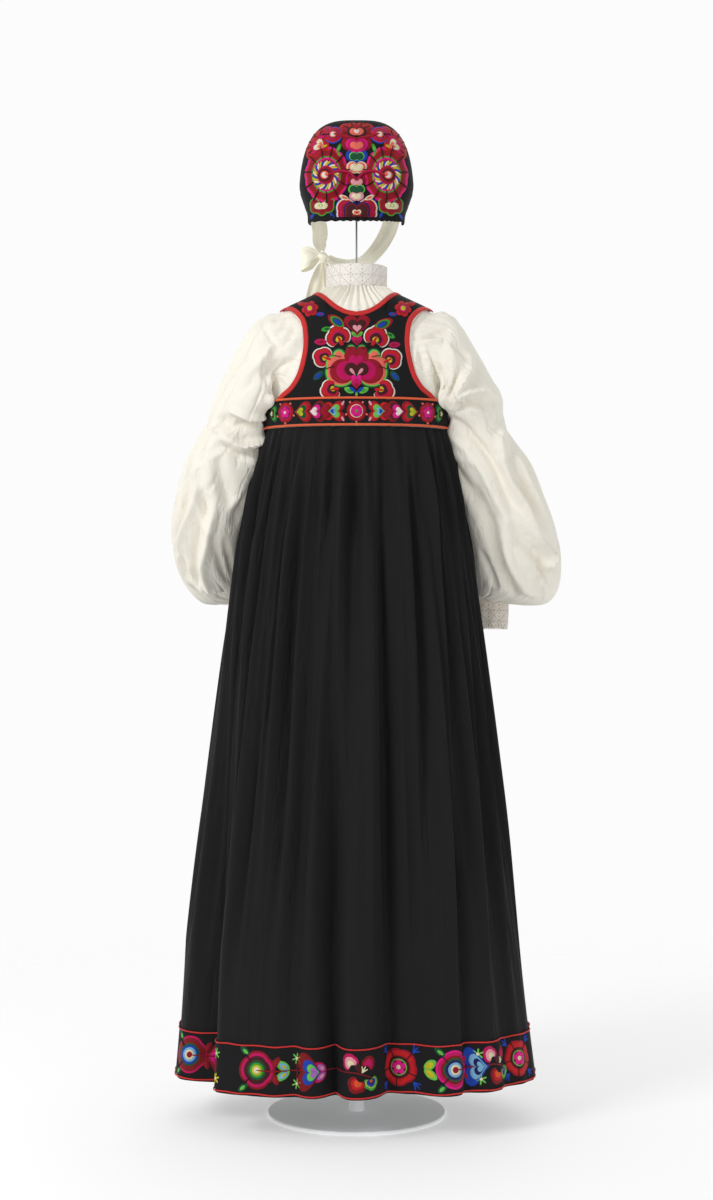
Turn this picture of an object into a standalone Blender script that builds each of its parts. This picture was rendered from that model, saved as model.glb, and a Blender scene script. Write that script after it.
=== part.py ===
"""A bunad costume on a plain display stand, in metres, +Z up.

The origin is the middle of the underside of the stand's disc. The garment's back faces -Y, the
wearer's front faces +Y, and -X and +X are called left and right as seen from behind. Every cloth
piece is a wall between two like grids of points, and what lies on a panel is that panel's own
surface moved out.
"""
from collections import namedtuple
from math import cos, pi, radians, sin, sqrt

import bpy
import numpy as np

# ---------------------------------------------------------------- driving sizes
SEAM_GAP = 0.0003

DISC_RADIUS = 0.150
DISC_HEIGHT = 0.006
DISC_EASE = 0.0015
POLE_RADIUS = 0.0125
ROD_RADIUS = 0.0016
FORM_BOTTOM = 0.930
FORM_TOP = 1.404
FORM_NECK_RADIUS = 0.0445
FORM_UNDER_SHIRT = 0.0059
FORM_COLUMNS = 24
FORM_NECK_FOOT = 1.3815
FORM_NECK_EASE = 0.004
FORM_HEIGHTS = [FORM_BOTTOM, 0.960, 1.020, 1.100, 1.150, 1.200, 1.250, 1.290, 1.320, 1.338, 1.349,
                1.360, 1.370]

TORSO_SQUARENESS = 2.3
SHIRT_OUT = 0.0003
SHIRT_WALL = 0.0010
BODICE_OUT = 0.0056
BODICE_WALL = 0.0016
BINDING_WALL = 0.0014
BINDING_OUT = BODICE_OUT + BODICE_WALL + SEAM_GAP * 2.9
BINDING_SHARE = 0.08    # the armhole binding's part of a half panel's width
NECK_BINDING_WIDTH = 0.0076
NECK_BINDING_RISE = 0.0016
SHOULDER_SEAM_NEAR = 0.010
NECK_COLUMNS = 7
NECK_SHARES = np.linspace(0.0, 1.0, NECK_COLUMNS)
SHOULDER_COLUMNS = 4
SHOULDER_SHARES = np.array([0.0, 0.30, 0.60, 0.86, 1.0])
ROW_SHARES = np.array([0.0, 0.045, 0.10, 0.17, 0.25, 0.34, 0.45, 0.57, 0.70, 0.835, 1.0])

SHIRT_BOTTOM = 1.100
SHIRT_TOP = 1.3835
NECK_GATHERS_FROM = 1.340
NECK_GATHER_DEPTH = 0.0012
GATHERED_SHIRT_ROWS = 4
SHIRT_COLUMNS = 15

ARMHOLE_MIDDLE = 1.279
ARMHOLE_HALF_HEIGHT = 0.064
ARMHOLE_HALF_ANGLE = 46.0
ARMHOLE_TOP = ARMHOLE_MIDDLE + ARMHOLE_HALF_HEIGHT
ARMHOLE_FOOT = ARMHOLE_MIDDLE - ARMHOLE_HALF_HEIGHT
SHIRT_HEIGHTS = [SHIRT_TOP, 1.374, 1.364, 1.353, ARMHOLE_TOP, 1.334, 1.311, ARMHOLE_MIDDLE, 1.247, 1.224,
                 ARMHOLE_FOOT, SHIRT_BOTTOM]
SLEEVE_OUT = 0.0027
SLEEVE_WALL = 0.0012
SLEEVE_COLUMNS = 24
SLEEVE_GATHER_DEPTH = 0.0030

COLLAR_RADIUS = 0.052
COLLAR_DEPTH = 0.054
COLLAR_BOTTOM = SHIRT_TOP + SEAM_GAP
COLLAR_TOP = 1.4240
COLLAR_WALL = 0.0018
COLLAR_SLIT_ANGLE = 4.0
COLLAR_COLUMNS = 33
COLLAR_RISE = 0.0015        # how much higher its top edge stands at the back than at the front
COLLAR_FORWARD = 0.001

CUFF_HEIGHT = 0.052
CUFF_WALL = 0.0015
CUFF_POINTS = 12
CUFF_POINT_DEPTH = 0.0030

BODICE_BOTTOM = 1.166
FRONT_OPENING = 0.0008

BAND_BOTTOM = 1.1535
BAND_TOP = 1.1925
BAND_HALF_WIDTH = 0.1580
BAND_BACK = 0.1172
BAND_FRONT = 0.1315
BAND_WALL = 0.0020
PIPING_SIZE = 0.0040
PIPING_PROUD = 0.0016
PIPING_EASE = 0.0008
BAND_COLUMNS = 48

SKIRT_COLUMNS = 80
SKIRT_FIRST_ANGLE = 3.6
SKIRT_SQUARENESS = 2.3
SKIRT_WALL = 0.0016
SKIRT_INSIDE = (0.0, 0.0, 0.6)
SKIRT_TOP = 1.1488
SKIRT_HEM = 0.0720
GATHER_COUNT = 40
GATHER_DEPTH = 0.0042
GATHERS_END = 0.930

BORDER_WALL = 0.0010
BORDER_TOP = 0.1510
BORDER_ABOVE_HEM = 0.0050
CORD_SIZE = 0.0026

CAP_HALF_WIDTH = 0.0972
CAP_DEPTH = 0.094
CAP_BOTTOM = 1.487
CAP_HEIGHT = 0.181
CAP_FRONT = 0.046
CAP_SQUARENESS = 3.2
CAP_WALL = 0.0020
CAP_COLUMNS = 19
CAP_CROWN_SHARES = (0.012, 0.40, 0.66, 0.84, 0.95, 1.0)
CAP_SIDE_STEPS = (0.018, CAP_FRONT)
CAP_TAPER = 0.172           # how much narrower it is at its lower edge
CAP_TAPER_HEIGHT = 0.070
CAP_EDGE_RISE = 0.018       # the lower edge climbs this much from the back to the face
CAP_FACE_TAPER = 0.024
CAP_INSIDE = (0.0, 0.0, 1.56)
CAP_REST_LOW = 1.590
CAP_REST_HALF_DEPTH = 0.048
CAP_REST_NARROWER = 0.72
CAP_REST_MIDDLE = (0.0, 0.004)

RIBBON_WALL = 0.0010

# ---------------------------------------------------------------- section tables
TorsoRow = namedtuple("TorsoRow", "height half_width back front")
TORSO = [
    TorsoRow(0.925, 0.132, 0.104, 0.104),
    TorsoRow(1.020, 0.150, 0.116, 0.114),
    TorsoRow(1.100, 0.150, 0.110, 0.116),
    TorsoRow(1.150, 0.1480, 0.1075, 0.118),
    TorsoRow(1.190, 0.1485, 0.1075, 0.120),
    TorsoRow(1.250, 0.1485, 0.1060, 0.121),
    TorsoRow(1.300, 0.1445, 0.0985, 0.114),
    TorsoRow(1.330, 0.1345, 0.0880, 0.100),
    TorsoRow(1.347, 0.1190, 0.0790, 0.088),
    TorsoRow(1.360, 0.0930, 0.0700, 0.077),
    TorsoRow(1.375, 0.0620, 0.0600, 0.064),
    TorsoRow(1.385, 0.0505, 0.0530, 0.054),
]

SkirtRow = namedtuple("SkirtRow", "height left right back front")
SKIRT = [
    SkirtRow(1.1488, 0.1545, 0.1545, 0.1140, 0.1285),
    SkirtRow(1.1250, 0.1615, 0.1620, 0.1190, 0.1330),
    SkirtRow(1.0900, 0.1715, 0.1690, 0.1260, 0.1380),
    SkirtRow(1.0400, 0.1830, 0.1780, 0.1330, 0.1450),
    SkirtRow(0.9600, 0.1990, 0.1910, 0.1410, 0.1530),
    SkirtRow(0.7800, 0.2245, 0.2155, 0.1565, 0.1685),
    SkirtRow(0.5300, 0.2555, 0.2455, 0.1755, 0.1875),
    SkirtRow(0.3000, 0.2860, 0.2710, 0.1910, 0.2030),
    SkirtRow(0.1510, 0.2960, 0.2880, 0.2020, 0.2120),
    SkirtRow(0.0720, 0.3030, 0.2980, 0.2060, 0.2160),
]
GATHERED_ROWS = 3   # rows from the waist down that carry the close gathers

# Angles run from the left side (0) over the back (90) to the right (180) and round the front.
SkirtFold = namedtuple("SkirtFold", "angle_high angle_hem half_angle depth starts")
SKIRT_FOLDS = [
    SkirtFold(24.0, 30.0, 9.0, -0.0560, 0.95),
    SkirtFold(40.0, 47.0, 6.5, 0.0060, 0.80),
    SkirtFold(65.3, 73.2, 3.6, -0.0110, 1.08),
    SkirtFold(82.4, 84.6, 2.6, -0.0330, 1.00),
    SkirtFold(91.0, 90.0, 3.6, 0.0060, 0.90),
    SkirtFold(102.3, 100.0, 4.6, -0.0430, 1.05),
    SkirtFold(109.0, 106.0, 4.0, -0.0240, 0.80),
    SkirtFold(117.3, 109.8, 3.6, -0.0150, 1.06),
    SkirtFold(132.3, 126.0, 3.8, -0.0180, 1.04),
    SkirtFold(150.0, 147.0, 6.0, -0.0120, 0.90),
    SkirtFold(168.0, 165.0, 5.0, 0.0040, 0.80),
    SkirtFold(197.0, 202.0, 6.5, -0.0300, 1.00),
    SkirtFold(218.0, 221.0, 4.5, -0.0180, 1.04),
    SkirtFold(240.0, 238.0, 5.5, -0.0340, 1.02),
    SkirtFold(258.0, 260.0, 4.0, -0.0170, 1.06),
    SkirtFold(276.0, 277.0, 4.5, -0.0300, 1.00),
    SkirtFold(294.0, 291.0, 4.0, -0.0150, 1.04),
    SkirtFold(312.0, 313.0, 6.5, -0.0380, 0.98),
    SkirtFold(336.0, 338.0, 5.5, -0.0220, 1.02),
]
SKIRT_FOLD_MIDDLE = 0.73

# One sleeve ring: its outer and inner edge as seen from behind (distance from the middle plane and
# height), where its middle lies in depth, its half depth, and how far its back part leans inwards.
SleeveRing = namedtuple("SleeveRing", "outer_x outer_z inner_x inner_z middle_y half_depth back_lean")
RIGHT_SLEEVE = [
    SleeveRing(0.1470, 1.3505, 0.1600, 1.2060, -0.002, 0.076, 0.000),
    SleeveRing(0.1730, 1.3280, 0.1610, 1.1960, -0.010, 0.080, 0.012),
    SleeveRing(0.1980, 1.2880, 0.1615, 1.1870, -0.012, 0.080, 0.020),
    SleeveRing(0.2200, 1.2500, 0.1620, 1.1780, -0.010, 0.076, 0.022),
    SleeveRing(0.2430, 1.2050, 0.1630, 1.1640, -0.005, 0.070, 0.016),
    SleeveRing(0.2500, 1.1600, 0.1650, 1.1440, 0.000, 0.058, 0.008),
    SleeveRing(0.2680, 1.1320, 0.1710, 1.1140, 0.006, 0.060, 0.006),
    SleeveRing(0.2960, 1.0940, 0.1790, 1.0700, 0.014, 0.067, 0.006),
    SleeveRing(0.3190, 1.0400, 0.1880, 1.0180, 0.026, 0.073, 0.008),
    SleeveRing(0.3400, 0.9860, 0.1950, 0.9680, 0.040, 0.077, 0.008),
    SleeveRing(0.3500, 0.9350, 0.2020, 0.9180, 0.055, 0.077, 0.006),
    SleeveRing(0.3475, 0.8880, 0.2070, 0.8880, 0.070, 0.070, 0.004),
    SleeveRing(0.3290, 0.8600, 0.2020, 0.8770, 0.082, 0.058, 0.000),
    SleeveRing(0.2930, 0.8580, 0.1905, 0.8690, 0.094, 0.047, 0.000),
    SleeveRing(0.2645, 0.8670, 0.1955, 0.8670, 0.100, 0.0345, 0.000),
]
LEFT_SLEEVE = [
    SleeveRing(0.1480, 1.3455, 0.1600, 1.2060, -0.002, 0.076, 0.000),
    SleeveRing(0.1740, 1.3260, 0.1610, 1.1960, -0.010, 0.080, 0.012),
    SleeveRing(0.2000, 1.2870, 0.1615, 1.1870, -0.012, 0.080, 0.020),
    SleeveRing(0.2200, 1.2460, 0.1620, 1.1780, -0.010, 0.076, 0.024),
    SleeveRing(0.2400, 1.2030, 0.1630, 1.1640, -0.005, 0.070, 0.020),
    SleeveRing(0.2520, 1.1660, 0.1660, 1.1440, 0.002, 0.058, 0.008),
    SleeveRing(0.2680, 1.1400, 0.1740, 1.1140, 0.010, 0.060, 0.006),
    SleeveRing(0.2870, 1.1040, 0.1830, 1.0700, 0.022, 0.066, 0.006),
    SleeveRing(0.3050, 1.0560, 0.1930, 1.0200, 0.038, 0.071, 0.008),
    SleeveRing(0.3170, 1.0000, 0.2020, 0.9700, 0.058, 0.074, 0.008),
    SleeveRing(0.3160, 0.9480, 0.2040, 0.9220, 0.080, 0.072, 0.006),
    SleeveRing(0.3020, 0.8980, 0.1990, 0.8900, 0.106, 0.064, 0.004),
    SleeveRing(0.2740, 0.8630, 0.1830, 0.8790, 0.128, 0.053, 0.000),
    SleeveRing(0.2480, 0.8590, 0.1500, 0.8700, 0.146, 0.046, 0.000),
    SleeveRing(0.2230, 0.8680, 0.1560, 0.8680, 0.152, 0.0335, 0.000),
]

# Angle 0 is the sleeve's outer edge, 90 the wearer's front, 180 the inner edge and 270 the back.
SleeveCrease = namedtuple("SleeveCrease", "ring_from ring_to angle_from angle_to half_angle depth")
RIGHT_CREASES = [
    SleeveCrease(0.6, 4.4, 246.0, 226.0, 10.0, 0.008),
    SleeveCrease(1.6, 5.2, 300.0, 262.0, 11.0, 0.010),
    SleeveCrease(1.0, 4.0, 60.0, 84.0, 13.0, 0.010),
    SleeveCrease(2.0, 5.4, 128.0, 112.0, 12.0, 0.010),
    SleeveCrease(6.4, 11.4, 214.0, 284.0, 11.0, 0.012),
    SleeveCrease(6.6, 13.2, 200.0, 236.0, 11.0, 0.010),
    SleeveCrease(8.0, 13.4, 276.0, 322.0, 10.0, 0.009),
    SleeveCrease(7.0, 13.0, 40.0, 72.0, 12.0, 0.010),
    SleeveCrease(6.6, 12.6, 120.0, 104.0, 12.0, 0.010),
]
LEFT_CREASES = [
    SleeveCrease(0.6, 4.2, 262.0, 300.0, 10.0, 0.009),
    SleeveCrease(1.0, 4.6, 250.0, 222.0, 11.0, 0.008),
    SleeveCrease(1.0, 4.0, 54.0, 80.0, 13.0, 0.010),
    SleeveCrease(2.0, 5.4, 132.0, 110.0, 12.0, 0.010),
    SleeveCrease(6.2, 9.6, 238.0, 252.0, 17.0, 0.014),
    SleeveCrease(7.0, 10.4, 312.0, 304.0, 10.0, 0.008),
    SleeveCrease(9.4, 13.2, 278.0, 246.0, 11.0, 0.010),
    SleeveCrease(7.0, 13.0, 36.0, 70.0, 12.0, 0.010),
    SleeveCrease(6.6, 12.6, 118.0, 100.0, 12.0, 0.010),
]

# The left half of a panel's armhole edge, bottom to shoulder: distance from the middle, height.
EdgePoint = namedtuple("EdgePoint", "across height")
BACK_ARMHOLE = [
    EdgePoint(0.124, 1.166), EdgePoint(0.120, 1.193), EdgePoint(0.101, 1.211),
    EdgePoint(0.087, 1.235), EdgePoint(0.0785, 1.270), EdgePoint(0.0775, 1.300),
    EdgePoint(0.0835, 1.327), EdgePoint(0.101, 1.345), EdgePoint(0.1195, 1.3475),
]
BACK_NECK = [
    EdgePoint(0.000, 1.335), EdgePoint(0.018, 1.339), EdgePoint(0.036, 1.350),
    EdgePoint(0.052, 1.366), EdgePoint(0.0650, 1.3742),
]
FRONT_ARMHOLE = [
    EdgePoint(0.126, 1.166), EdgePoint(0.122, 1.193), EdgePoint(0.110, 1.215),
    EdgePoint(0.101, 1.240), EdgePoint(0.096, 1.270), EdgePoint(0.095, 1.300),
    EdgePoint(0.098, 1.325), EdgePoint(0.107, 1.343), EdgePoint(0.1195, 1.3475),
]
FRONT_NECK = [
    EdgePoint(0.000, 1.316), EdgePoint(0.018, 1.320), EdgePoint(0.036, 1.333),
    EdgePoint(0.052, 1.355), EdgePoint(0.0650, 1.3742),
]

# A ribbon's middle line, with its width and the turn of its width about that line.
RibbonPoint = namedtuple("RibbonPoint", "x y z width turn")
RIBBON_LEFT = [
    RibbonPoint(-0.0645, -0.020, 1.5020, 0.026, 10), RibbonPoint(-0.0615, 0.004, 1.4880, 0.026, 20),
    RibbonPoint(-0.0620, 0.030, 1.4740, 0.024, 20), RibbonPoint(-0.0590, 0.046, 1.4660, 0.018, 10),
    RibbonPoint(-0.0575, 0.0560, 1.4625, 0.012, 0),
]
RIBBON_RIGHT = [
    RibbonPoint(0.0600, -0.010, 1.5060, 0.027, 0), RibbonPoint(0.0520, 0.016, 1.4860, 0.027, -10),
    RibbonPoint(0.0360, 0.042, 1.4640, 0.026, -30), RibbonPoint(0.0130, 0.064, 1.4450, 0.025, -55),
    RibbonPoint(-0.0120, 0.070, 1.4400, 0.024, -75), RibbonPoint(-0.0330, 0.066, 1.4430, 0.021, -85),
    RibbonPoint(-0.0479, 0.0580, 1.4505, 0.012, -90),
]
RIBBON_LOOP = [
    RibbonPoint(-0.0656, 0.0555, 1.4530, 0.010, 0), RibbonPoint(-0.0780, 0.0490, 1.4540, 0.028, 0),
    RibbonPoint(-0.0890, 0.0490, 1.4510, 0.038, 0), RibbonPoint(-0.0940, 0.0570, 1.4490, 0.041, 0),
    RibbonPoint(-0.0890, 0.0660, 1.4470, 0.038, 0), RibbonPoint(-0.0780, 0.0670, 1.4470, 0.028, 0),
    RibbonPoint(-0.0656, 0.0605, 1.4500, 0.010, 0),
]
RIBBON_TAIL_LONG = [
    RibbonPoint(-0.0590, 0.0610, 1.4408, 0.012, 5), RibbonPoint(-0.0650, 0.0720, 1.4220, 0.021, 5),
    RibbonPoint(-0.0720, 0.0820, 1.3960, 0.026, 0), RibbonPoint(-0.0760, 0.0940, 1.3660, 0.028, 0),
    RibbonPoint(-0.0760, 0.1100, 1.3300, 0.028, 0), RibbonPoint(-0.0740, 0.1250, 1.2850, 0.028, 0),
    RibbonPoint(-0.0720, 0.1325, 1.2400, 0.028, 0),
]
RIBBON_TAIL_SHORT = [
    RibbonPoint(-0.0550, 0.0560, 1.4408, 0.010, -10), RibbonPoint(-0.0480, 0.0640, 1.4260, 0.018, -15),
    RibbonPoint(-0.0440, 0.0740, 1.4080, 0.024, -15), RibbonPoint(-0.0410, 0.0850, 1.3860, 0.026, -10),
]
KNOT_MIDDLE = (-0.0570, 0.0580, 1.4510)
KNOT_HALF = (0.0085, 0.0070, 0.0105)

# ---------------------------------------------------------------- colours
BLACK_WOOL = ((0.012, 0.011, 0.012), 0.95, 0.0)
WHITE_LINEN = ((0.86, 0.84, 0.78), 0.85, 0.0)
RED_WOOL = ((0.58, 0.03, 0.02), 0.85, 0.0)
ORANGE_WOOL = ((0.76, 0.11, 0.03), 0.85, 0.0)
EMBROIDERY = ((0.42, 0.05, 0.07), 0.75, 0.0)
CREAM_SILK = ((0.74, 0.71, 0.58), 0.45, 0.0)
GREY_PAINT = ((0.56, 0.57, 0.57), 0.45, 0.0)
FORM_CLOTH = ((0.70, 0.67, 0.60), 0.85, 0.0)
STEEL = ((0.62, 0.62, 0.62), 0.35, 0.9)


def clear_scene():
    for old in list(bpy.data.objects):
        bpy.data.objects.remove(old, do_unlink=True)


def finish_object(name, points, triangles, finish, sharp_angle=40.0):
    """One named object from points and triangles, its faces turned outwards."""
    points = np.asarray(points, float)
    corners = points[np.asarray(triangles)]
    if np.linalg.det(corners - points.mean(axis=0)).sum() < 0:
        triangles = [(a, c, b) for a, b, c in triangles]
    mesh = bpy.data.meshes.new(name)
    mesh.from_pydata(points.tolist(), [], triangles)
    mesh.update()
    mesh.shade_smooth()
    mesh.set_sharp_from_angle(angle=radians(sharp_angle))
    part = bpy.data.objects.new(name, mesh)
    bpy.context.scene.collection.objects.link(part)
    color, roughness, metallic = finish
    material = bpy.data.materials.new(name + "_finish")
    material.use_nodes = True
    shader = material.node_tree.nodes["Principled BSDF"]
    shader.inputs["Base Color"].default_value = (*color, 1.0)
    shader.inputs["Roughness"].default_value = roughness
    shader.inputs["Metallic"].default_value = metallic
    mesh.materials.append(material)
    return part


# ---------------------------------------------------------------- curves and walls
def smooth_rows(rows, steps):
    """Catmull-Rom points between the rows of a table, steps to each stretch."""
    table = np.array(rows, float)
    padded = np.vstack([2 * table[0] - table[1], table, 2 * table[-1] - table[-2]])
    made = []
    for k in range(1, len(padded) - 2):
        p0, p1, p2, p3 = padded[k - 1:k + 3]
        for t in np.arange(steps) / steps:
            made.append(0.5 * (2 * p1 + (p2 - p0) * t + (2 * p0 - 5 * p1 + 4 * p2 - p3) * t ** 2
                               + (3 * p1 - p0 - 3 * p2 + p3) * t ** 3))
    made.append(table[-1])
    return np.array(made)


def spread_along(points, shares, measured=None):
    """Points of a line at the given shares of its length, or of a matching line's where one is given."""
    points = np.array(points, float)
    lengths = np.linalg.norm(np.diff(points if measured is None else measured, axis=0), axis=1)
    travelled = np.concatenate([[0.0], np.cumsum(lengths)])
    wanted = travelled[-1] * np.asarray(shares)
    return np.stack([np.interp(wanted, travelled, column) for column in points.T], axis=1)


def row_normals(rows, closed, inside):
    """A unit normal for each point of a stack of rows, away from the inside point."""
    normals = []
    for k, row in enumerate(rows):
        if closed:
            along = np.roll(row, -1, axis=0) - np.roll(row, 1, axis=0)
        else:
            along = np.gradient(row, axis=0)
        above = rows[max(k - 1, 0)]
        below = rows[min(k + 1, len(rows) - 1)]
        across = match_length(below, len(row), closed) - match_length(above, len(row), closed)
        normal = np.cross(along, across)
        normal /= np.maximum(np.linalg.norm(normal, axis=1, keepdims=True), 1e-9)
        normals.append(normal)
    middle = np.concatenate(rows) - np.array(inside)
    if (np.concatenate(normals) * middle).sum() < 0:
        normals = [-normal for normal in normals]
    return normals


def match_length(row, count, closed):
    """The row read at count places, where one row has twice the points of the other."""
    if len(row) == count:
        return row
    if len(row) > count:
        return row[::2]
    between = (row + np.roll(row, -1, axis=0)) / 2 if closed else (row[:-1] + row[1:]) / 2
    doubled = np.empty((count, 3))
    doubled[::2] = row
    doubled[1::2] = between
    return doubled


def moved_out(rows, distance, closed, inside):
    normals = row_normals(rows, closed, inside)
    return [row + normal * distance for row, normal in zip(rows, normals)]


def stitch(upper, lower, closed):
    """Triangles between two rows of point numbers, the same count or two to one."""
    faces = []
    if len(upper) == len(lower):
        stretches = len(upper) if closed else len(upper) - 1
        for c in range(stretches):
            d = (c + 1) % len(upper)
            faces += [(upper[c], upper[d], lower[d]), (upper[c], lower[d], lower[c])]
        return faces
    fine, coarse = (upper, lower) if len(upper) > len(lower) else (lower, upper)
    stretches = len(coarse) if closed else len(coarse) - 1
    for c in range(stretches):
        d = (c + 1) % len(coarse)
        a, b, e = fine[2 * c], fine[2 * c + 1], fine[(2 * c + 2) % len(fine)]
        made = [(a, b, coarse[c]), (b, coarse[d], coarse[c]), (b, e, coarse[d])]
        faces += made if fine is upper else [(p, r, q) for p, q, r in made]
    return faces


def wall(name, outer, inner, closed, finish):
    """A closed wall between two like stacks of rows, with rims at its open edges."""
    numbers, points = [], []
    for rows in (outer, inner):
        side = []
        for row in rows:
            side.append(list(range(len(points), len(points) + len(row))))
            points += [tuple(point) for point in row]
        numbers.append(side)
    out, back = numbers
    faces = []
    for k in range(len(out) - 1):
        faces += stitch(out[k], out[k + 1], closed)
        faces += [(a, c, b) for a, b, c in stitch(back[k], back[k + 1], closed)]
    faces += stitch(back[0], out[0], closed)
    faces += stitch(out[-1], back[-1], closed)
    if not closed:
        for k in range(len(out) - 1):
            a, b, c, d = out[k][0], out[k + 1][0], back[k + 1][0], back[k][0]
            faces += [(a, b, c), (a, c, d)]
            a, b, c, d = out[k][-1], out[k + 1][-1], back[k + 1][-1], back[k][-1]
            faces += [(a, c, b), (a, d, c)]
    return finish_object(name, points, faces, finish)


def cord(name, line, normals, size, finish):
    """A square cord laid along a closed line of points, its underside on the line."""
    along = np.roll(line, -1, axis=0) - np.roll(line, 1, axis=0)
    side = np.cross(along, normals)
    side *= size / 2 / np.maximum(np.linalg.norm(side, axis=1, keepdims=True), 1e-9)
    crest = normals * size
    profile = [line + side, line + side * 0.6 + crest, line - side * 0.6 + crest, line - side]
    return swept(name, profile, True, finish)


def swept(name, profile, closed, finish):
    """A solid through a ring of matching lines, closed end to end or capped."""
    count, length = len(profile), len(profile[0])
    points = np.concatenate(profile)
    faces = []
    for k in range(count):
        following = (k + 1) % count
        for c in range(length if closed else length - 1):
            d = (c + 1) % length
            a, b = k * length + c, k * length + d
            e, f = following * length + d, following * length + c
            faces += [(a, b, e), (a, e, f)]
    if not closed:
        for k in range(1, count - 1):
            faces.append((0, k * length, (k + 1) * length))
            last = length - 1
            faces.append((last, (k + 1) * length + last, k * length + last))
    return finish_object(name, points, faces, finish)


def turned(name, rings, finish, sharp_angle=40.0):
    """A solid through closed rings, with a flat cap at each end."""
    count = len(rings[0])
    points = [tuple(point) for ring in rings for point in ring]
    faces = []
    for k in range(len(rings) - 1):
        upper = list(range(k * count, (k + 1) * count))
        lower = list(range((k + 1) * count, (k + 2) * count))
        faces += stitch(upper, lower, True)
    last = (len(rings) - 1) * count
    for c in range(1, count - 1):
        faces.append((0, c + 1, c))
        faces.append((last, last + c, last + c + 1))
    return finish_object(name, points, faces, finish, sharp_angle)


def level_ring(radius_x, radius_y, height, count, middle=(0.0, 0.0)):
    angles = np.arange(count) * 2 * pi / count
    return np.stack([middle[0] + radius_x * np.cos(angles), middle[1] + radius_y * np.sin(angles),
                     np.full(count, height)], axis=1)


# ---------------------------------------------------------------- the torso's surface
TORSO_FINE = smooth_rows(TORSO, 8)


def signed_power(value, power):
    return np.sign(value) * np.abs(value) ** power


def torso_point(angle, height, out=0.0):
    """A point of the torso; angle 0 is the middle of the back and 90 the right side, in degrees."""
    def surface(a, z):
        half, back, front = (np.interp(z, TORSO_FINE[:, 0], TORSO_FINE[:, k]) for k in (1, 2, 3))
        s, c = np.sin(np.radians(a)), np.cos(np.radians(a))
        depth = np.where(c > 0, back, front)
        power = 2 / TORSO_SQUARENESS
        x, y = half * signed_power(s, power), -depth * signed_power(c, power)
        return np.stack(np.broadcast_arrays(x, y, z), axis=-1)
    step_angle, step_height = 1.5, 0.003
    along = surface(angle + step_angle, height) - surface(angle - step_angle, height)
    rising = surface(angle, height + step_height) - surface(angle, height - step_height)
    normal = np.cross(along, rising)
    normal /= np.linalg.norm(normal, axis=-1, keepdims=True)
    out = np.broadcast_to(out, np.shape(normal)[:-1])
    return surface(angle, height) + normal * out[..., None]


def torso_angle(across, height, front):
    """The angle at which the torso has this distance from its middle plane."""
    half = np.interp(height, TORSO_FINE[:, 0], TORSO_FINE[:, 1])
    share = np.clip(np.abs(across) / half, 0.0, 1.0)
    angle = np.degrees(np.arcsin(share ** (TORSO_SQUARENESS / 2)))
    angle = np.sign(across) * angle
    return 180.0 - angle if front else angle


# ---------------------------------------------------------------- stand
def make_stand():
    eased = DISC_RADIUS - DISC_EASE
    sections = [(eased, 0.0), (DISC_RADIUS, DISC_EASE), (DISC_RADIUS, DISC_HEIGHT - DISC_EASE),
                (eased, DISC_HEIGHT)]
    rings = [level_ring(radius, radius, height, 36) for radius, height in sections]
    turned("stand_base", rings, GREY_PAINT, 30.0)
    low, high = DISC_HEIGHT + SEAM_GAP, FORM_BOTTOM - SEAM_GAP
    turned("stand_pole", [level_ring(POLE_RADIUS, POLE_RADIUS, z, 20) for z in (low, high)], GREY_PAINT)


def make_dress_form():
    angles = np.arange(FORM_COLUMNS) * 360.0 / FORM_COLUMNS
    rings = [torso_point(angles, np.full(FORM_COLUMNS, z), -FORM_UNDER_SHIRT) for z in FORM_HEIGHTS]
    rings[0][:, 2] = FORM_BOTTOM
    sine, cosine = np.sin(np.radians(angles)), np.cos(np.radians(angles))
    for z in (FORM_NECK_FOOT, FORM_TOP - FORM_NECK_EASE):
        level = np.full(FORM_COLUMNS, z)
        rings.append(np.stack([FORM_NECK_RADIUS * sine, -FORM_NECK_RADIUS * cosine, level], axis=1))
    top = rings[-1] * [0.9, 0.9, 1.0] + [0.0, 0.0, FORM_NECK_EASE]
    turned("dress_form", rings + [top], FORM_CLOTH)
    rod_top = CAP_REST_LOW - SEAM_GAP
    rod = [level_ring(ROD_RADIUS, ROD_RADIUS, z, 10) for z in (FORM_TOP + SEAM_GAP, rod_top)]
    turned("cap_rod", rod, STEEL)


def make_cap_rest():
    """The plain cushion on the rod that the crown sits on, inside the cap."""
    inset = CAP_WALL + SEAM_GAP * 3
    rings = []
    crown_inside = CAP_BOTTOM + CAP_HEIGHT - CAP_WALL
    half_width = (CAP_HALF_WIDTH - inset) * CAP_REST_NARROWER
    for below, share in ((0.076, 0.80), (0.054, 0.86), (0.030, 0.78), (0.014, 0.56), (0.0014, 0.20)):
        rings.append(level_ring(half_width * share, CAP_REST_HALF_DEPTH * share, crown_inside - below, 20,
                                CAP_REST_MIDDLE))
    turned("cap_rest", rings, FORM_CLOTH)


# ---------------------------------------------------------------- shirt
def armhole_half_angle(height):
    share = (height - ARMHOLE_MIDDLE) / ARMHOLE_HALF_HEIGHT
    return ARMHOLE_HALF_ANGLE * sqrt(max(0.0, 1.0 - share * share))


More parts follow.
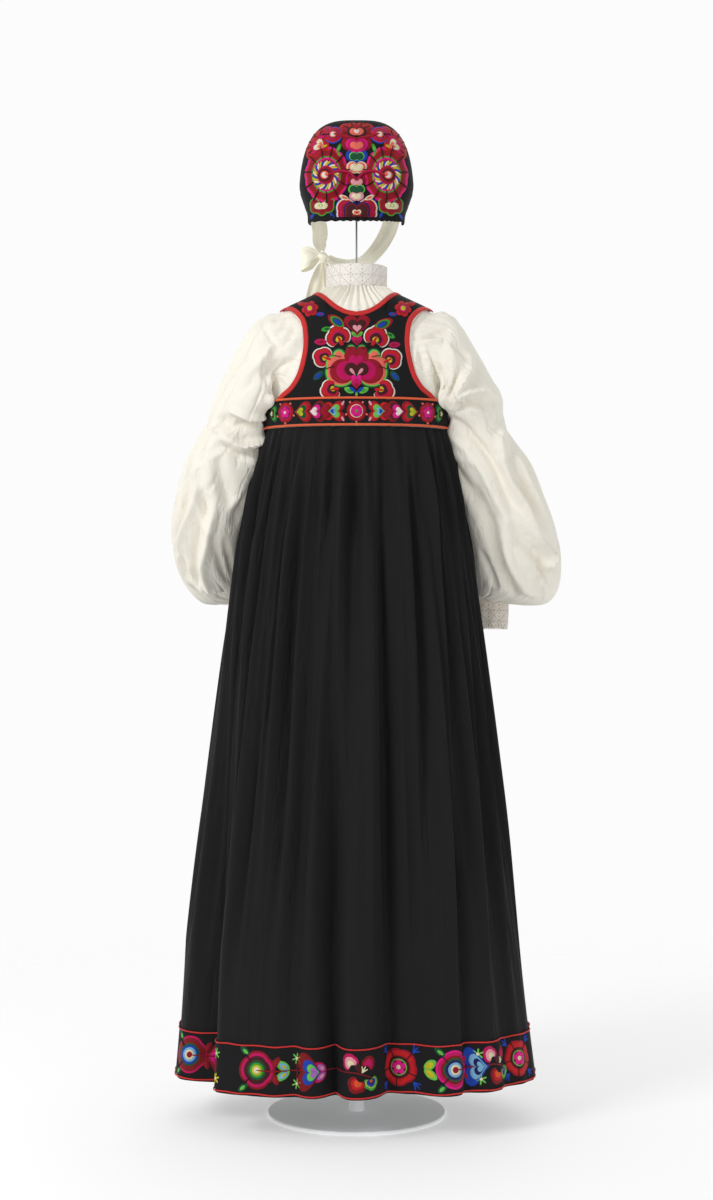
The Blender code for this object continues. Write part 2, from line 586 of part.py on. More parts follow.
def make_shirt_half(name, front):
    """Half of the shirt's body: a gathered neck above, an armhole cut out of each side."""
    side = 90.0 - np.degrees(SEAM_GAP / 0.10)
    outer, inner = [], []
    for k, height in enumerate(SHIRT_HEIGHTS):
        gathered = k < GATHERED_SHIRT_ROWS
        count = 2 * SHIRT_COLUMNS - 1 if gathered else SHIRT_COLUMNS
        reach = side - armhole_half_angle(height)
        angles = np.linspace(-reach, reach, count)
        fade = gathered * max(0.0, (height - NECK_GATHERS_FROM) / (SHIRT_TOP - NECK_GATHERS_FROM))
        wave = fade * NECK_GATHER_DEPTH * (1 + (-1.0) ** np.arange(count)) / 2
        if front:
            angles = 180.0 - angles
        level = np.full(count, height)
        inner.append(torso_point(angles, level, SHIRT_OUT + wave))
        outer.append(torso_point(angles, level, SHIRT_OUT + SHIRT_WALL + wave))
    wall(name, outer, inner, False, WHITE_LINEN)


def sleeve_rings(table, side, creases):
    """The sleeve's rows of points from its armhole to its cuff."""
    angles = np.arange(SLEEVE_COLUMNS) * 2 * pi / SLEEVE_COLUMNS
    height = ARMHOLE_MIDDLE + ARMHOLE_HALF_HEIGHT * np.cos(angles)
    around = 90.0 + ARMHOLE_HALF_ANGLE * np.sin(angles)
    rows = [torso_point(around, height, SLEEVE_OUT)]
    for ring in table:
        middle_x, middle_z = (ring.outer_x + ring.inner_x) / 2, (ring.outer_z + ring.inner_z) / 2
        reach_x, reach_z = (ring.outer_x - ring.inner_x) / 2, (ring.outer_z - ring.inner_z) / 2
        lean = ring.back_lean * np.maximum(0.0, -np.sin(angles)) ** 2
        rows.append(np.stack([middle_x + reach_x * np.cos(angles) - lean,
                              ring.middle_y + ring.half_depth * np.sin(angles),
                              middle_z + reach_z * np.cos(angles)], axis=1))
    middles = [row.mean(axis=0) for row in rows]
    last = len(rows) - 1
    for k, row in enumerate(rows):
        depth = np.zeros(SLEEVE_COLUMNS)
        for crease in creases:
            span = crease.ring_to - crease.ring_from
            share = (k - crease.ring_from) / span
            if not 0.0 < share < 1.0:
                continue
            centre = crease.angle_from + (crease.angle_to - crease.angle_from) * share
            away = (np.degrees(angles) - centre + 180.0) % 360.0 - 180.0
            depth -= crease.depth * sin(pi * share) * np.exp(-(away / crease.half_angle) ** 2)
        ends = {1: 1.0, 2: 0.6, last - 1: 0.5, last - 2: 0.7}.get(k, 0.0)
        depth += ends * SLEEVE_GATHER_DEPTH * (-1.0) ** np.arange(SLEEVE_COLUMNS) / 2
        outward = row - middles[k]
        outward /= np.linalg.norm(outward, axis=1, keepdims=True)
        rows[k] = row + outward * depth[:, None]
    return [row * [side, 1.0, 1.0] for row in rows]


def make_sleeve(name, table, side, creases):
    outer = sleeve_rings(table, side, creases)
    middles = np.concatenate([np.tile(row.mean(axis=0), (len(row), 1)) for row in outer])
    inner = moved_out(outer, -SLEEVE_WALL, True, middles)
    wall(name, outer, inner, True, WHITE_LINEN)
    cuff = table[-1]
    cuff_middle = (side * (cuff.outer_x + cuff.inner_x) / 2, cuff.middle_y)
    make_cuff(name.replace("sleeve", "cuff"), cuff_middle, cuff.half_depth - 0.001, cuff.outer_z)


def make_cuff(name, middle, radius, sleeve_end):
    """A close tube below the sleeve, its lower edge cut in small points."""
    count = CUFF_POINTS * 2
    top = sleeve_end - SEAM_GAP * 2
    low = top - CUFF_HEIGHT
    inside = radius - CUFF_WALL
    outer = [level_ring(radius, radius, z, count, middle) for z in (top, low + CUFF_POINT_DEPTH)]
    inner = [level_ring(inside, inside, z, count, middle) for z in (top, low + CUFF_POINT_DEPTH)]
    for rows in (outer, inner):
        rows[-1][::2, 2] -= CUFF_POINT_DEPTH
    wall(name, outer, inner, True, WHITE_LINEN)


def make_collar():
    """A stand collar, open by a narrow slit at the wearer's front."""
    reach = 180.0 - COLLAR_SLIT_ANGLE
    angles = np.radians(np.linspace(-reach, reach, COLLAR_COLUMNS))
    outer, inner = [], []
    middle = (COLLAR_TOP + COLLAR_BOTTOM) / 2
    for z, rise in ((COLLAR_TOP, COLLAR_RISE), (middle, COLLAR_RISE), (COLLAR_BOTTOM, 0.0)):
        for rows, less in ((outer, 0.0), (inner, COLLAR_WALL)):
            rows.append(np.stack([(COLLAR_RADIUS - less) * np.sin(angles),
                                  -(COLLAR_DEPTH - less) * np.cos(angles) + COLLAR_FORWARD,
                                  z + rise * np.cos(angles)], axis=1))
    wall("collar", outer, inner, False, WHITE_LINEN)


# ---------------------------------------------------------------- bodice
def panel_half(neck, armhole, shares):
    """A half panel as rows of (across, height): middle line to armhole, neck edge to waist."""
    rows, columns = len(shares), NECK_COLUMNS + SHOULDER_COLUMNS
    shoulder = [neck[-1], armhole[-1]]
    u = np.append(np.linspace(0.0, 1.0 - BINDING_SHARE, columns - 1), 1.0)
    neck_line = smooth_rows(neck, 12)
    neck_on_torso = torso_point(torso_angle(neck_line[:, 0], neck_line[:, 1], False), neck_line[:, 1])
    top_line = np.vstack([spread_along(neck_line, NECK_SHARES, neck_on_torso),
                          spread_along(shoulder, SHOULDER_SHARES)[1:]])
    outer_line = spread_along(smooth_rows(armhole[::-1], 6), shares)
    heights = neck[0].height + (BODICE_BOTTOM - neck[0].height) * shares
    middle_line = np.stack([np.zeros(rows), heights], axis=1)
    bottom_line = np.stack([armhole[0].across * u, np.full(columns, BODICE_BOTTOM)], axis=1)
    u = u[None, :, None]
    v = shares[:, None, None]
    return ((1 - v) * top_line[None] + v * bottom_line[None]
            + (1 - u) * middle_line[:, None] + u * outer_line[:, None]
            - (1 - u) * (1 - v) * top_line[0] - u * (1 - v) * top_line[-1]
            - (1 - u) * v * bottom_line[0] - u * v * bottom_line[-1])


def on_torso(flat, side, front, out):
    """Rows of (across, height) laid on the torso and moved out; front and back part at the shoulder."""
    rows = []
    for row in flat:
        across = np.maximum(row[:, 0], 1e-6) * side
        placed = torso_point(torso_angle(across, row[:, 1], front), row[:, 1], out)
        rows.append(placed + [0.0, SEAM_GAP / 2 if front else -SEAM_GAP / 2, 0.0])
    return rows


def layer(flat, sides, front, out, thickness):
    """The inner and outer rows of one layer on the torso, over one side or over both."""
    made = []
    for reach in (out, out + thickness):
        halves = [on_torso(flat, side, front, reach) for side in sides]
        if len(halves) == 1:
            turned_back = sides[0] < 0 and not front    # as the left half of the whole back runs
            made.append([row[::-1] for row in halves[0]] if turned_back else halves[0])
        else:
            made.append([np.vstack([a[:0:-1], b]) for a, b in zip(*halves)])
    return made


def below_edge(edge, outward):
    """The line a binding's width from a neck edge, down the cloth; it stops at the same seams."""
    inward = np.cross(np.gradient(edge, axis=0), outward)
    inward *= -NECK_BINDING_WIDTH * np.sign(inward[:, 2].sum()) / np.linalg.norm(inward, axis=1)[:, None]
    lower = edge + inward + NECK_BINDING_RISE * outward / np.linalg.norm(outward, axis=1)[:, None]
    for end in (0, -1):
        seam = int(abs(edge[end, 1]) < SHOULDER_SEAM_NEAR)    # the shoulder's seam runs across, the front's down
        lower[end, seam] = edge[end, seam]
    return lower


def make_panel(name, word, flat, sides, front):
    """A bodice panel with a binding along its neck edge."""
    inner, outer = layer(flat, sides, front, BODICE_OUT, BODICE_WALL)
    wall(name + word, outer, inner, False, BLACK_WOOL)
    (inner,), (outer,) = layer(flat[:1, :NECK_COLUMNS], sides, front, BINDING_OUT, BINDING_WALL)
    lower_inner = below_edge(inner, outer - inner)
    lower_outer = below_edge(outer, outer - inner)
    wall("neck_binding" + name[6:] + word, [outer, lower_outer], [inner, lower_inner], False, RED_WOOL)


def make_armhole_binding(name, flat, side, front):
    """A binding over a panel's last column, from the shoulder down to the band."""
    inner, outer = layer(flat[:-1, -2:], [side], front, BINDING_OUT, BINDING_WALL)
    wall(name, outer, inner, False, RED_WOOL)


def make_bodice():
    """The back in one piece, and two plain fronts that meet edge to edge at the middle."""
    back = panel_half(BACK_NECK, BACK_ARMHOLE, ROW_SHARES)
    front = panel_half(FRONT_NECK, FRONT_ARMHOLE, ROW_SHARES)
    front[:, 0, 0] = FRONT_OPENING / 2
    make_panel("bodice_back", "", back, (-1.0, 1.0), False)
    for side, word in ((-1.0, "_left"), (1.0, "_right")):
        make_panel("bodice_front", word, front, (side,), True)
        make_armhole_binding("armhole_binding_back" + word, back, side, False)
        make_armhole_binding("armhole_binding_front" + word, front, side, True)


# ---------------------------------------------------------------- waist band
def waist_ring(grow, height):
    angles = np.arange(BAND_COLUMNS) * 2 * pi / BAND_COLUMNS
    power = 2 / TORSO_SQUARENESS
    depth = np.where(np.cos(angles) > 0, BAND_BACK, BAND_FRONT) + grow
    return np.stack([(BAND_HALF_WIDTH + grow) * signed_power(np.sin(angles), power),
                     -depth * signed_power(np.cos(angles), power),
                     np.full(BAND_COLUMNS, height)], axis=1)


def make_band():
    outer = [waist_ring(0.0, z) for z in (BAND_TOP, BAND_BOTTOM)]
    inner = [waist_ring(-BAND_WALL, z) for z in (BAND_TOP, BAND_BOTTOM)]
    wall("band", outer, inner, True, EMBROIDERY)
    below = BAND_BOTTOM - SEAM_GAP - PIPING_SIZE
    for name, low in (("piping_top", BAND_TOP + SEAM_GAP), ("piping_bottom", below)):
        high = low + PIPING_SIZE
        profile = [waist_ring(-BAND_WALL, high), waist_ring(PIPING_PROUD, high - PIPING_EASE),
                   waist_ring(PIPING_PROUD, low + PIPING_EASE), waist_ring(-BAND_WALL, low)]
        swept(name, profile, True, ORANGE_WOOL)


# ---------------------------------------------------------------- skirt
def ease_in(value):
    value = np.clip(value, 0.0, 1.0)
    return value * value * (3.0 - 2.0 * value)


def skirt_point(angle, height):
    """A point of the skirt's outer surface; angle as in the table of folds, in degrees."""
    heights = [row.height for row in SKIRT[::-1]]
    columns = [[row[k] for row in SKIRT[::-1]] for k in (1, 2, 3, 4)]
    left, right, back, front = (np.interp(height, heights, column) for column in columns)
    c, s = np.cos(np.radians(angle)), np.sin(np.radians(angle))
    power = 2 / SKIRT_SQUARENESS
    x = -np.where(c > 0, left, right) * signed_power(c, power)
    y = -np.where(s > 0, back, front) * signed_power(s, power)
    moved = np.zeros(np.shape(angle))
    down = (SKIRT_TOP - height) / (SKIRT_TOP - SKIRT_HEM)
    for fold in SKIRT_FOLDS:
        lean = (SKIRT_FOLD_MIDDLE - height) / (SKIRT_FOLD_MIDDLE - SKIRT_HEM)
        centre = fold.angle_high + (fold.angle_hem - fold.angle_high) * np.clip(lean, -0.6, 1.0)
        away = (angle - centre + 180.0) % 360.0 - 180.0
        grown = ease_in((fold.starts - height) / fold.starts) ** 0.8
        moved += fold.depth * grown * np.exp(-(away / fold.half_angle) ** 2)
    gathered = ease_in((height - GATHERS_END) / 0.10) * np.clip(0.35 + down * 12.0, 0.0, 1.0)
    number = angle / 360.0 * GATHER_COUNT
    uneven = 1.0 + 0.35 * np.sin(np.floor(number) * 2.4) * np.sin(number * pi) ** 2
    moved += GATHER_DEPTH * gathered * uneven * np.sin(number * 2 * pi)
    grown = 1 + moved / np.hypot(x, y)
    return np.stack([x * grown, y * grown, np.broadcast_to(height, np.shape(angle))], axis=-1)


def skirt_rows():
    rows = []
    for k, row in enumerate(SKIRT):
        count = SKIRT_COLUMNS * (2 if k < GATHERED_ROWS else 1)
        angles = SKIRT_FIRST_ANGLE + np.arange(count) * 360.0 / count
        rows.append(skirt_point(angles, np.full(count, row.height)))
    return rows


def make_skirt():
    outer = skirt_rows()
    inner = moved_out(outer, -SKIRT_WALL, True, SKIRT_INSIDE)
    inner[0][:, 2] = SKIRT_TOP
    inner[-1][:, 2] = SKIRT_HEM
    wall("skirt", outer, inner, True, BLACK_WOOL)
    low, high = SKIRT_HEM + BORDER_ABOVE_HEM, BORDER_TOP
    share = (high - low) / (BORDER_TOP - SKIRT_HEM)
    strip = [outer[-2], outer[-2] + (outer[-1] - outer[-2]) * share]
    border_gap = SEAM_GAP * 1.5
    inner_strip = moved_out(strip, border_gap, True, SKIRT_INSIDE)
    outer_strip = moved_out(strip, border_gap + BORDER_WALL, True, SKIRT_INSIDE)
    wall("hem_border", outer_strip, inner_strip, True, EMBROIDERY)
    lifted = moved_out(strip, border_gap * 2 + BORDER_WALL, True, SKIRT_INSIDE)
    normals = row_normals(strip, True, SKIRT_INSIDE)
    inset = CORD_SIZE / 2 / (high - low)
    for name, share in (("hem_cord_top", inset), ("hem_cord_bottom", 1 - inset)):
        line = lifted[0] + (lifted[1] - lifted[0]) * share
        cord(name, line, normals[0], CORD_SIZE, RED_WOOL)


# ---------------------------------------------------------------- cap
def cap_height(rise, y):
    """Heights at shares of the rise from the lower edge, which climbs towards the face, to the top."""
    edge = CAP_EDGE_RISE * (y + CAP_DEPTH) / (CAP_DEPTH + CAP_FRONT)
    return CAP_BOTTOM + edge + (CAP_HEIGHT - edge) * rise


def cap_rows():
    """The cap from the middle of its crown's back outwards, then forward to its face edge."""
    turns = np.radians(np.linspace(0.0, 180.0, CAP_COLUMNS))
    power = 2 / CAP_SQUARENESS
    rows = []
    for share in CAP_CROWN_SHARES:
        rise = share * np.abs(np.sin(turns)) ** power
        taper = 1.0 - CAP_TAPER * (1.0 - ease_in(CAP_HEIGHT * rise / CAP_TAPER_HEIGHT))
        x = CAP_HALF_WIDTH * share * signed_power(np.cos(turns), power) * taper
        back = -CAP_DEPTH * (1.0 - share ** CAP_SQUARENESS) ** (1 / CAP_SQUARENESS)
        rows.append(np.stack([x, np.full(len(turns), back), cap_height(rise, back)], axis=1))
    rim_x = rows[-1][:, 0]
    for forward in CAP_SIDE_STEPS:
        narrower = 1.0 - CAP_FACE_TAPER * forward / CAP_FRONT
        rows.append(np.stack([rim_x * narrower, np.full(len(turns), forward), cap_height(rise, forward)], axis=1))
    return rows


def make_cap():
    outer = cap_rows()
    inner = moved_out(outer, -CAP_WALL, False, CAP_INSIDE)
    wall("cap", outer, inner, False, BLACK_WOOL)


# ---------------------------------------------------------------- ribbons
def make_ribbon(name, table, upright=False):
    """A ribbon along its middle line; an upright one keeps its width near vertical all the way."""
    rows = smooth_rows(table, 3)
    line, width, turn = rows[:, :3], rows[:, 3], np.radians(rows[:, 4])
    along = np.gradient(line, axis=0)
    along /= np.linalg.norm(along, axis=1, keepdims=True)
    level = [0.0, 0.0, 1.0] - along * along[:, 2:] if upright else np.cross(along, [0.0, 1.0, 0.0])
    level /= np.linalg.norm(level, axis=1, keepdims=True)
    facing = np.cross(level, along)
    across = level * np.cos(turn / 3)[:, None] + facing * np.sin(turn / 3)[:, None]
    thick = np.cross(along, across) * RIBBON_WALL / 2
    half = across * width[:, None] / 2
    profile = [line - half + thick, line + half + thick, line + half - thick, line - half - thick]
    swept(name, profile, False, CREAM_SILK)


def make_knot():
    rings = []
    for k in range(1, 7):
        polar = pi * k / 7
        ring = level_ring(KNOT_HALF[0] * sin(polar), KNOT_HALF[1] * sin(polar),
                          KNOT_MIDDLE[2] + KNOT_HALF[2] * cos(polar), 12, KNOT_MIDDLE[:2])
        rings.append(ring)
    turned("ribbon_knot", rings, CREAM_SILK)


def main():
    clear_scene()
    make_stand()
    make_dress_form()
    make_cap_rest()
    make_shirt_half("shirt_back", False)
    make_shirt_half("shirt_front", True)
    make_sleeve("sleeve_right", RIGHT_SLEEVE, 1.0, RIGHT_CREASES)
    make_sleeve("sleeve_left", LEFT_SLEEVE, -1.0, LEFT_CREASES)
    make_collar()
    make_bodice()
    make_band()
    make_skirt()
    make_cap()
    make_ribbon("ribbon_left", RIBBON_LEFT)
    make_ribbon("ribbon_right", RIBBON_RIGHT)
    make_ribbon("ribbon_loop", RIBBON_LOOP, upright=True)
    make_ribbon("ribbon_tail_long", RIBBON_TAIL_LONG)
    make_ribbon("ribbon_tail_short", RIBBON_TAIL_SHORT)
    make_knot()


main()
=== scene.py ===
"""The looks of the bunad costume: its cloth, stitching, ribbons and stand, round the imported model.

Metres, +Z up, in the model's own frame. The garment's back faces -Y. Cloth is a closed thin shell on a
surface function, and stitching is raised patches drawn flat and laid on the same surface.
"""
from collections import namedtuple
from math import ceil, cos, pi, radians, sin

import bpy
import numpy as np
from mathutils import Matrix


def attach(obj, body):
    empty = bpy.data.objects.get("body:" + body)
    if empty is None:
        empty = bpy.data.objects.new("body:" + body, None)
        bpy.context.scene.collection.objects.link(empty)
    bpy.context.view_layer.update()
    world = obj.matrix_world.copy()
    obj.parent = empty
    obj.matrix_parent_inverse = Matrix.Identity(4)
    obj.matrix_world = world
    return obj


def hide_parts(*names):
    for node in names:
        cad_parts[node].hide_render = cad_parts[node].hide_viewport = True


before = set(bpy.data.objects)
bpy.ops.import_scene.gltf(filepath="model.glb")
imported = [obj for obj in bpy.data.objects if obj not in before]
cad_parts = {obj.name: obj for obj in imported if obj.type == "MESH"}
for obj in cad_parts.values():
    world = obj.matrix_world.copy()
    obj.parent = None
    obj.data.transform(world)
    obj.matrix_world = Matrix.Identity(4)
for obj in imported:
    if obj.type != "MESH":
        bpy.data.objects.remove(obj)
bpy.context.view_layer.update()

# ---------------------------------------------------------------- sizes of the garment
CAMERA_DISTANCE = 3.5
CAMERA_HEIGHT = 0.865
CAMERA_LENS = 62.3

SURFACE_SQUARENESS = 2.3
SHIRT_OUT = 0.0013
BODICE_OUT = 0.0072
BODICE_WALL = 0.0016
SKIRT_WALL = 0.0016
SKIRT_COLUMNS = 600
SHELL_SHARP_ANGLE = 55.0
TUBE_SHARP_ANGLE = 60.0
BINDING_WIDTH = 0.0082
BINDING_LIFT = 0.0010
SHIRT_TOP = 1.3835
SHIRT_BOTTOM = 1.100
ARMHOLE_MIDDLE = 1.279
ARMHOLE_HALF_HEIGHT = 0.064
ARMHOLE_HALF_ANGLE = 46.0
COLLAR_RADIUS = 0.052
COLLAR_DEPTH = 0.054
COLLAR_FORWARD = 0.001
COLLAR_BOTTOM = 1.3838
COLLAR_TOP = 1.4250
COLLAR_SLIT_ANGLE = 4.0
CUFF_HEIGHT = 0.052
CUFF_POINTS = 22
BODICE_BOTTOM = 1.166
BAND_BOTTOM = 1.1535
BAND_TOP = 1.1925
BAND_HALF_WIDTH = 0.1580
BAND_BACK = 0.1172
BAND_FRONT = 0.1315
BAND_WALL = 0.0020
PIPING_SIZE = 0.0040
SKIRT_TOP = 1.1488
SKIRT_HEM = 0.0720
GATHER_COUNT = 40
GATHER_DEPTH = 0.0042
GATHERS_END = 0.930
BORDER_TOP = 0.1510
BORDER_BOTTOM = 0.0770
BORDER_OUT = 0.0012
CAP_HALF_WIDTH = 0.0972
CAP_DEPTH = 0.094
CAP_BOTTOM = 1.487
CAP_HEIGHT = 0.181
CAP_FRONT = 0.046
CAP_SQUARENESS = 3.2
CAP_TAPER = 0.172
CAP_TAPER_HEIGHT = 0.070
CAP_EDGE_RISE = 0.018
CAP_FACE_TAPER = 0.024
CAP_RIM_SHARE = 0.975   # where the stitching's ground turns from the cap's back to its side
RIBBON_FOLDS = 3
RIBBON_WAVE = 0.0014

TorsoRow = namedtuple("TorsoRow", "height half_width back front")
TORSO = [TorsoRow(*row) for row in (
    (0.925, 0.132, 0.104, 0.104), (1.02, 0.15, 0.116, 0.114), (1.1, 0.15, 0.11, 0.116),
    (1.15, 0.148, 0.1075, 0.118), (1.19, 0.1485, 0.1075, 0.12), (1.25, 0.1485, 0.106, 0.121),
    (1.3, 0.1445, 0.0985, 0.114), (1.33, 0.1345, 0.088, 0.1), (1.347, 0.119, 0.079, 0.088),
    (1.36, 0.093, 0.07, 0.077), (1.375, 0.062, 0.06, 0.064), (1.385, 0.0505, 0.053, 0.054),
)]

SkirtRow = namedtuple("SkirtRow", "height left right back front")
SKIRT = [SkirtRow(*row) for row in (
    (1.1488, 0.1545, 0.1545, 0.114, 0.1285), (1.125, 0.1615, 0.162, 0.119, 0.133),
    (1.09, 0.1715, 0.169, 0.126, 0.138), (1.04, 0.183, 0.178, 0.133, 0.145),
    (0.96, 0.199, 0.191, 0.141, 0.153), (0.78, 0.2245, 0.2155, 0.1565, 0.1685),
    (0.53, 0.2555, 0.2455, 0.1755, 0.1875), (0.3, 0.286, 0.271, 0.191, 0.203),
    (0.151, 0.296, 0.288, 0.202, 0.212), (0.072, 0.303, 0.298, 0.206, 0.216),
)]

# Angles run from the left side (0) over the back (90) to the right (180) and round the front.
SkirtFold = namedtuple("SkirtFold", "angle_high angle_hem half_angle depth starts")
SKIRT_FOLDS = [SkirtFold(*row) for row in (
    (24, 30, 9, -0.056, 0.95), (40, 47, 6.5, 0.006, 0.8), (65.3, 73.2, 3.6, -0.011, 1.08),
    (82.4, 84.6, 2.6, -0.033, 1), (91, 90, 3.6, 0.006, 0.9), (102.3, 100, 4.6, -0.043, 1.05),
    (109, 106, 4, -0.024, 0.8), (117.3, 109.8, 3.6, -0.015, 1.06), (132.3, 126, 3.8, -0.018, 1.04),
    (150, 147, 6, -0.012, 0.9), (168, 165, 5, 0.004, 0.8), (197, 202, 6.5, -0.03, 1),
    (218, 221, 4.5, -0.018, 1.04), (240, 238, 5.5, -0.034, 1.02), (258, 260, 4, -0.017, 1.06),
    (276, 277, 4.5, -0.03, 1), (294, 291, 4, -0.015, 1.04), (312, 313, 6.5, -0.038, 0.98),
    (336, 338, 5.5, -0.022, 1.02),
)]
SKIRT_FOLD_MIDDLE = 0.73

SleeveRing = namedtuple("SleeveRing", "outer_x outer_z inner_x inner_z middle_y half_depth back_lean")
RIGHT_SLEEVE = [SleeveRing(*row) for row in (
    (0.147, 1.3505, 0.16, 1.206, -0.002, 0.076, 0), (0.173, 1.328, 0.161, 1.196, -0.01, 0.08, 0.012),
    (0.198, 1.288, 0.1615, 1.187, -0.012, 0.08, 0.02), (0.22, 1.25, 0.162, 1.178, -0.01, 0.076, 0.022),
    (0.243, 1.205, 0.163, 1.164, -0.005, 0.07, 0.016), (0.25, 1.16, 0.165, 1.144, 0, 0.058, 0.008),
    (0.268, 1.132, 0.171, 1.114, 0.006, 0.06, 0.006), (0.296, 1.094, 0.179, 1.07, 0.014, 0.067, 0.006),
    (0.319, 1.04, 0.188, 1.018, 0.026, 0.073, 0.008), (0.34, 0.986, 0.195, 0.968, 0.04, 0.077, 0.008),
    (0.35, 0.935, 0.202, 0.918, 0.055, 0.077, 0.006), (0.3475, 0.888, 0.207, 0.888, 0.07, 0.07, 0.004),
    (0.329, 0.86, 0.202, 0.877, 0.082, 0.058, 0), (0.293, 0.858, 0.1905, 0.869, 0.094, 0.047, 0),
    (0.2645, 0.867, 0.1955, 0.867, 0.1, 0.0345, 0),
)]
LEFT_SLEEVE = [SleeveRing(*row) for row in (
    (0.148, 1.3455, 0.16, 1.206, -0.002, 0.076, 0), (0.174, 1.326, 0.161, 1.196, -0.01, 0.08, 0.012),
    (0.2, 1.287, 0.1615, 1.187, -0.012, 0.08, 0.02), (0.22, 1.246, 0.162, 1.178, -0.01, 0.076, 0.024),
    (0.24, 1.203, 0.163, 1.164, -0.005, 0.07, 0.02), (0.252, 1.166, 0.166, 1.144, 0.002, 0.058, 0.008),
    (0.268, 1.14, 0.174, 1.114, 0.01, 0.06, 0.006), (0.287, 1.104, 0.183, 1.07, 0.022, 0.066, 0.006),
    (0.305, 1.056, 0.193, 1.02, 0.038, 0.071, 0.008), (0.317, 1, 0.202, 0.97, 0.058, 0.074, 0.008),
    (0.316, 0.948, 0.204, 0.922, 0.08, 0.072, 0.006), (0.302, 0.898, 0.199, 0.89, 0.106, 0.064, 0.004),
    (0.274, 0.863, 0.183, 0.879, 0.128, 0.053, 0), (0.248, 0.859, 0.15, 0.87, 0.146, 0.046, 0),
    (0.223, 0.868, 0.156, 0.868, 0.152, 0.0335, 0),
)]

EdgePoint = namedtuple("EdgePoint", "across height")
BACK_ARMHOLE = [EdgePoint(*row) for row in (
    (0.124, 1.166), (0.12, 1.193), (0.101, 1.211), (0.087, 1.235), (0.0785, 1.27), (0.0775, 1.3),
    (0.0835, 1.327), (0.101, 1.345), (0.1195, 1.3475),
)]
BACK_NECK = [EdgePoint(*row) for row in (
    (0, 1.335), (0.018, 1.339), (0.036, 1.35), (0.052, 1.366), (0.065, 1.3742),
)]
FRONT_ARMHOLE = [EdgePoint(*row) for row in (
    (0.126, 1.166), (0.122, 1.193), (0.11, 1.215), (0.101, 1.24), (0.096, 1.27), (0.095, 1.3), (0.098, 1.325),
    (0.107, 1.343), (0.1195, 1.3475),
)]
FRONT_NECK = [EdgePoint(*row) for row in (
    (0, 1.316), (0.018, 1.32), (0.036, 1.333), (0.052, 1.355), (0.065, 1.3742),
)]

RibbonPoint = namedtuple("RibbonPoint", "x y z width turn")
RIBBON_LEFT = [RibbonPoint(*row) for row in (
    (-0.0645, -0.02, 1.502, 0.026, 10), (-0.0615, 0.004, 1.488, 0.026, 20), (-0.062, 0.03, 1.474, 0.024, 20),
    (-0.059, 0.046, 1.466, 0.018, 10), (-0.0575, 0.056, 1.4625, 0.012, 0),
)]
RIBBON_RIGHT = [RibbonPoint(*row) for row in (
    (0.06, -0.01, 1.506, 0.027, 0), (0.052, 0.016, 1.486, 0.027, -10), (0.036, 0.042, 1.464, 0.026, -30),
    (0.013, 0.064, 1.445, 0.025, -55), (-0.012, 0.07, 1.44, 0.024, -75), (-0.033, 0.066, 1.443, 0.021, -85),
    (-0.0479, 0.058, 1.4505, 0.012, -90),
)]
RIBBON_LOOP = [RibbonPoint(*row) for row in (
    (-0.0656, 0.0555, 1.453, 0.01, 0), (-0.078, 0.049, 1.454, 0.028, 0), (-0.089, 0.049, 1.451, 0.038, 0),
    (-0.094, 0.057, 1.449, 0.041, 0), (-0.089, 0.066, 1.447, 0.038, 0), (-0.078, 0.067, 1.447, 0.028, 0),
    (-0.0656, 0.0605, 1.45, 0.01, 0),
)]
RIBBON_TAIL_LONG = [RibbonPoint(*row) for row in (
    (-0.059, 0.061, 1.4408, 0.012, 5), (-0.065, 0.072, 1.422, 0.021, 5), (-0.072, 0.082, 1.396, 0.026, 0),
    (-0.076, 0.094, 1.366, 0.028, 0), (-0.076, 0.11, 1.33, 0.028, 0), (-0.074, 0.125, 1.285, 0.028, 0),
    (-0.072, 0.1325, 1.24, 0.028, 0),
)]
RIBBON_TAIL_SHORT = [RibbonPoint(*row) for row in (
    (-0.055, 0.056, 1.4408, 0.01, -10), (-0.048, 0.064, 1.426, 0.018, -15),
    (-0.044, 0.074, 1.408, 0.024, -15),
    (-0.041, 0.085, 1.386, 0.026, -10),
)]
KNOT_MIDDLE = (-0.0570, 0.0580, 1.4510)
KNOT_HALF = (0.0085, 0.0070, 0.0105)


# ---------------------------------------------------------------- curves and surfaces
def smooth_rows(rows, steps):
    """Catmull-Rom points between the rows of a table, steps to each stretch."""
    table = np.array(rows, float)
    padded = np.concatenate([2 * table[:1] - table[1:2], table, 2 * table[-1:] - table[-2:-1]])
    made = []
    for k in range(1, len(padded) - 2):
        p0, p1, p2, p3 = padded[k - 1:k + 3]
        for t in np.arange(steps) / steps:
            made.append(0.5 * (2 * p1 + (p2 - p0) * t + (2 * p0 - 5 * p1 + 4 * p2 - p3) * t ** 2
                               + (3 * p1 - p0 - 3 * p2 + p3) * t ** 3))
    made.append(table[-1])
    return np.array(made)


def lengths_along(points):
    steps = np.linalg.norm(np.diff(points, axis=0), axis=1)
    return np.concatenate([[0.0], np.cumsum(steps)])


def spread_along(points, shares, measured=None):
    """Points of a line at the given shares of its length, or of a matching line's where one is given."""
    points = np.array(points, float)
    travelled = lengths_along(points if measured is None else measured)
    wanted = travelled[-1] * np.asarray(shares)
    return np.stack([np.interp(wanted, travelled, column) for column in points.T], axis=1)


def signed_power(value, power):
    return np.sign(value) * np.abs(value) ** power


def ease_in(value):
    value = np.clip(value, 0.0, 1.0)
    return value * value * (3.0 - 2.0 * value)


def unit(vectors):
    return vectors / np.maximum(np.linalg.norm(vectors, axis=-1, keepdims=True), 1e-9)


def lifted(surface, a, b, out, step_a, step_b):
    """Points of a surface(a, b) moved out by a distance; its normal comes from two small steps."""
    across = surface(a + step_a, b) - surface(a - step_a, b)
    rising = surface(a, b + step_b) - surface(a, b - step_b)
    normal = unit(np.cross(across, rising))
    return surface(a, b) + normal * np.broadcast_to(out, np.shape(a))[..., None]


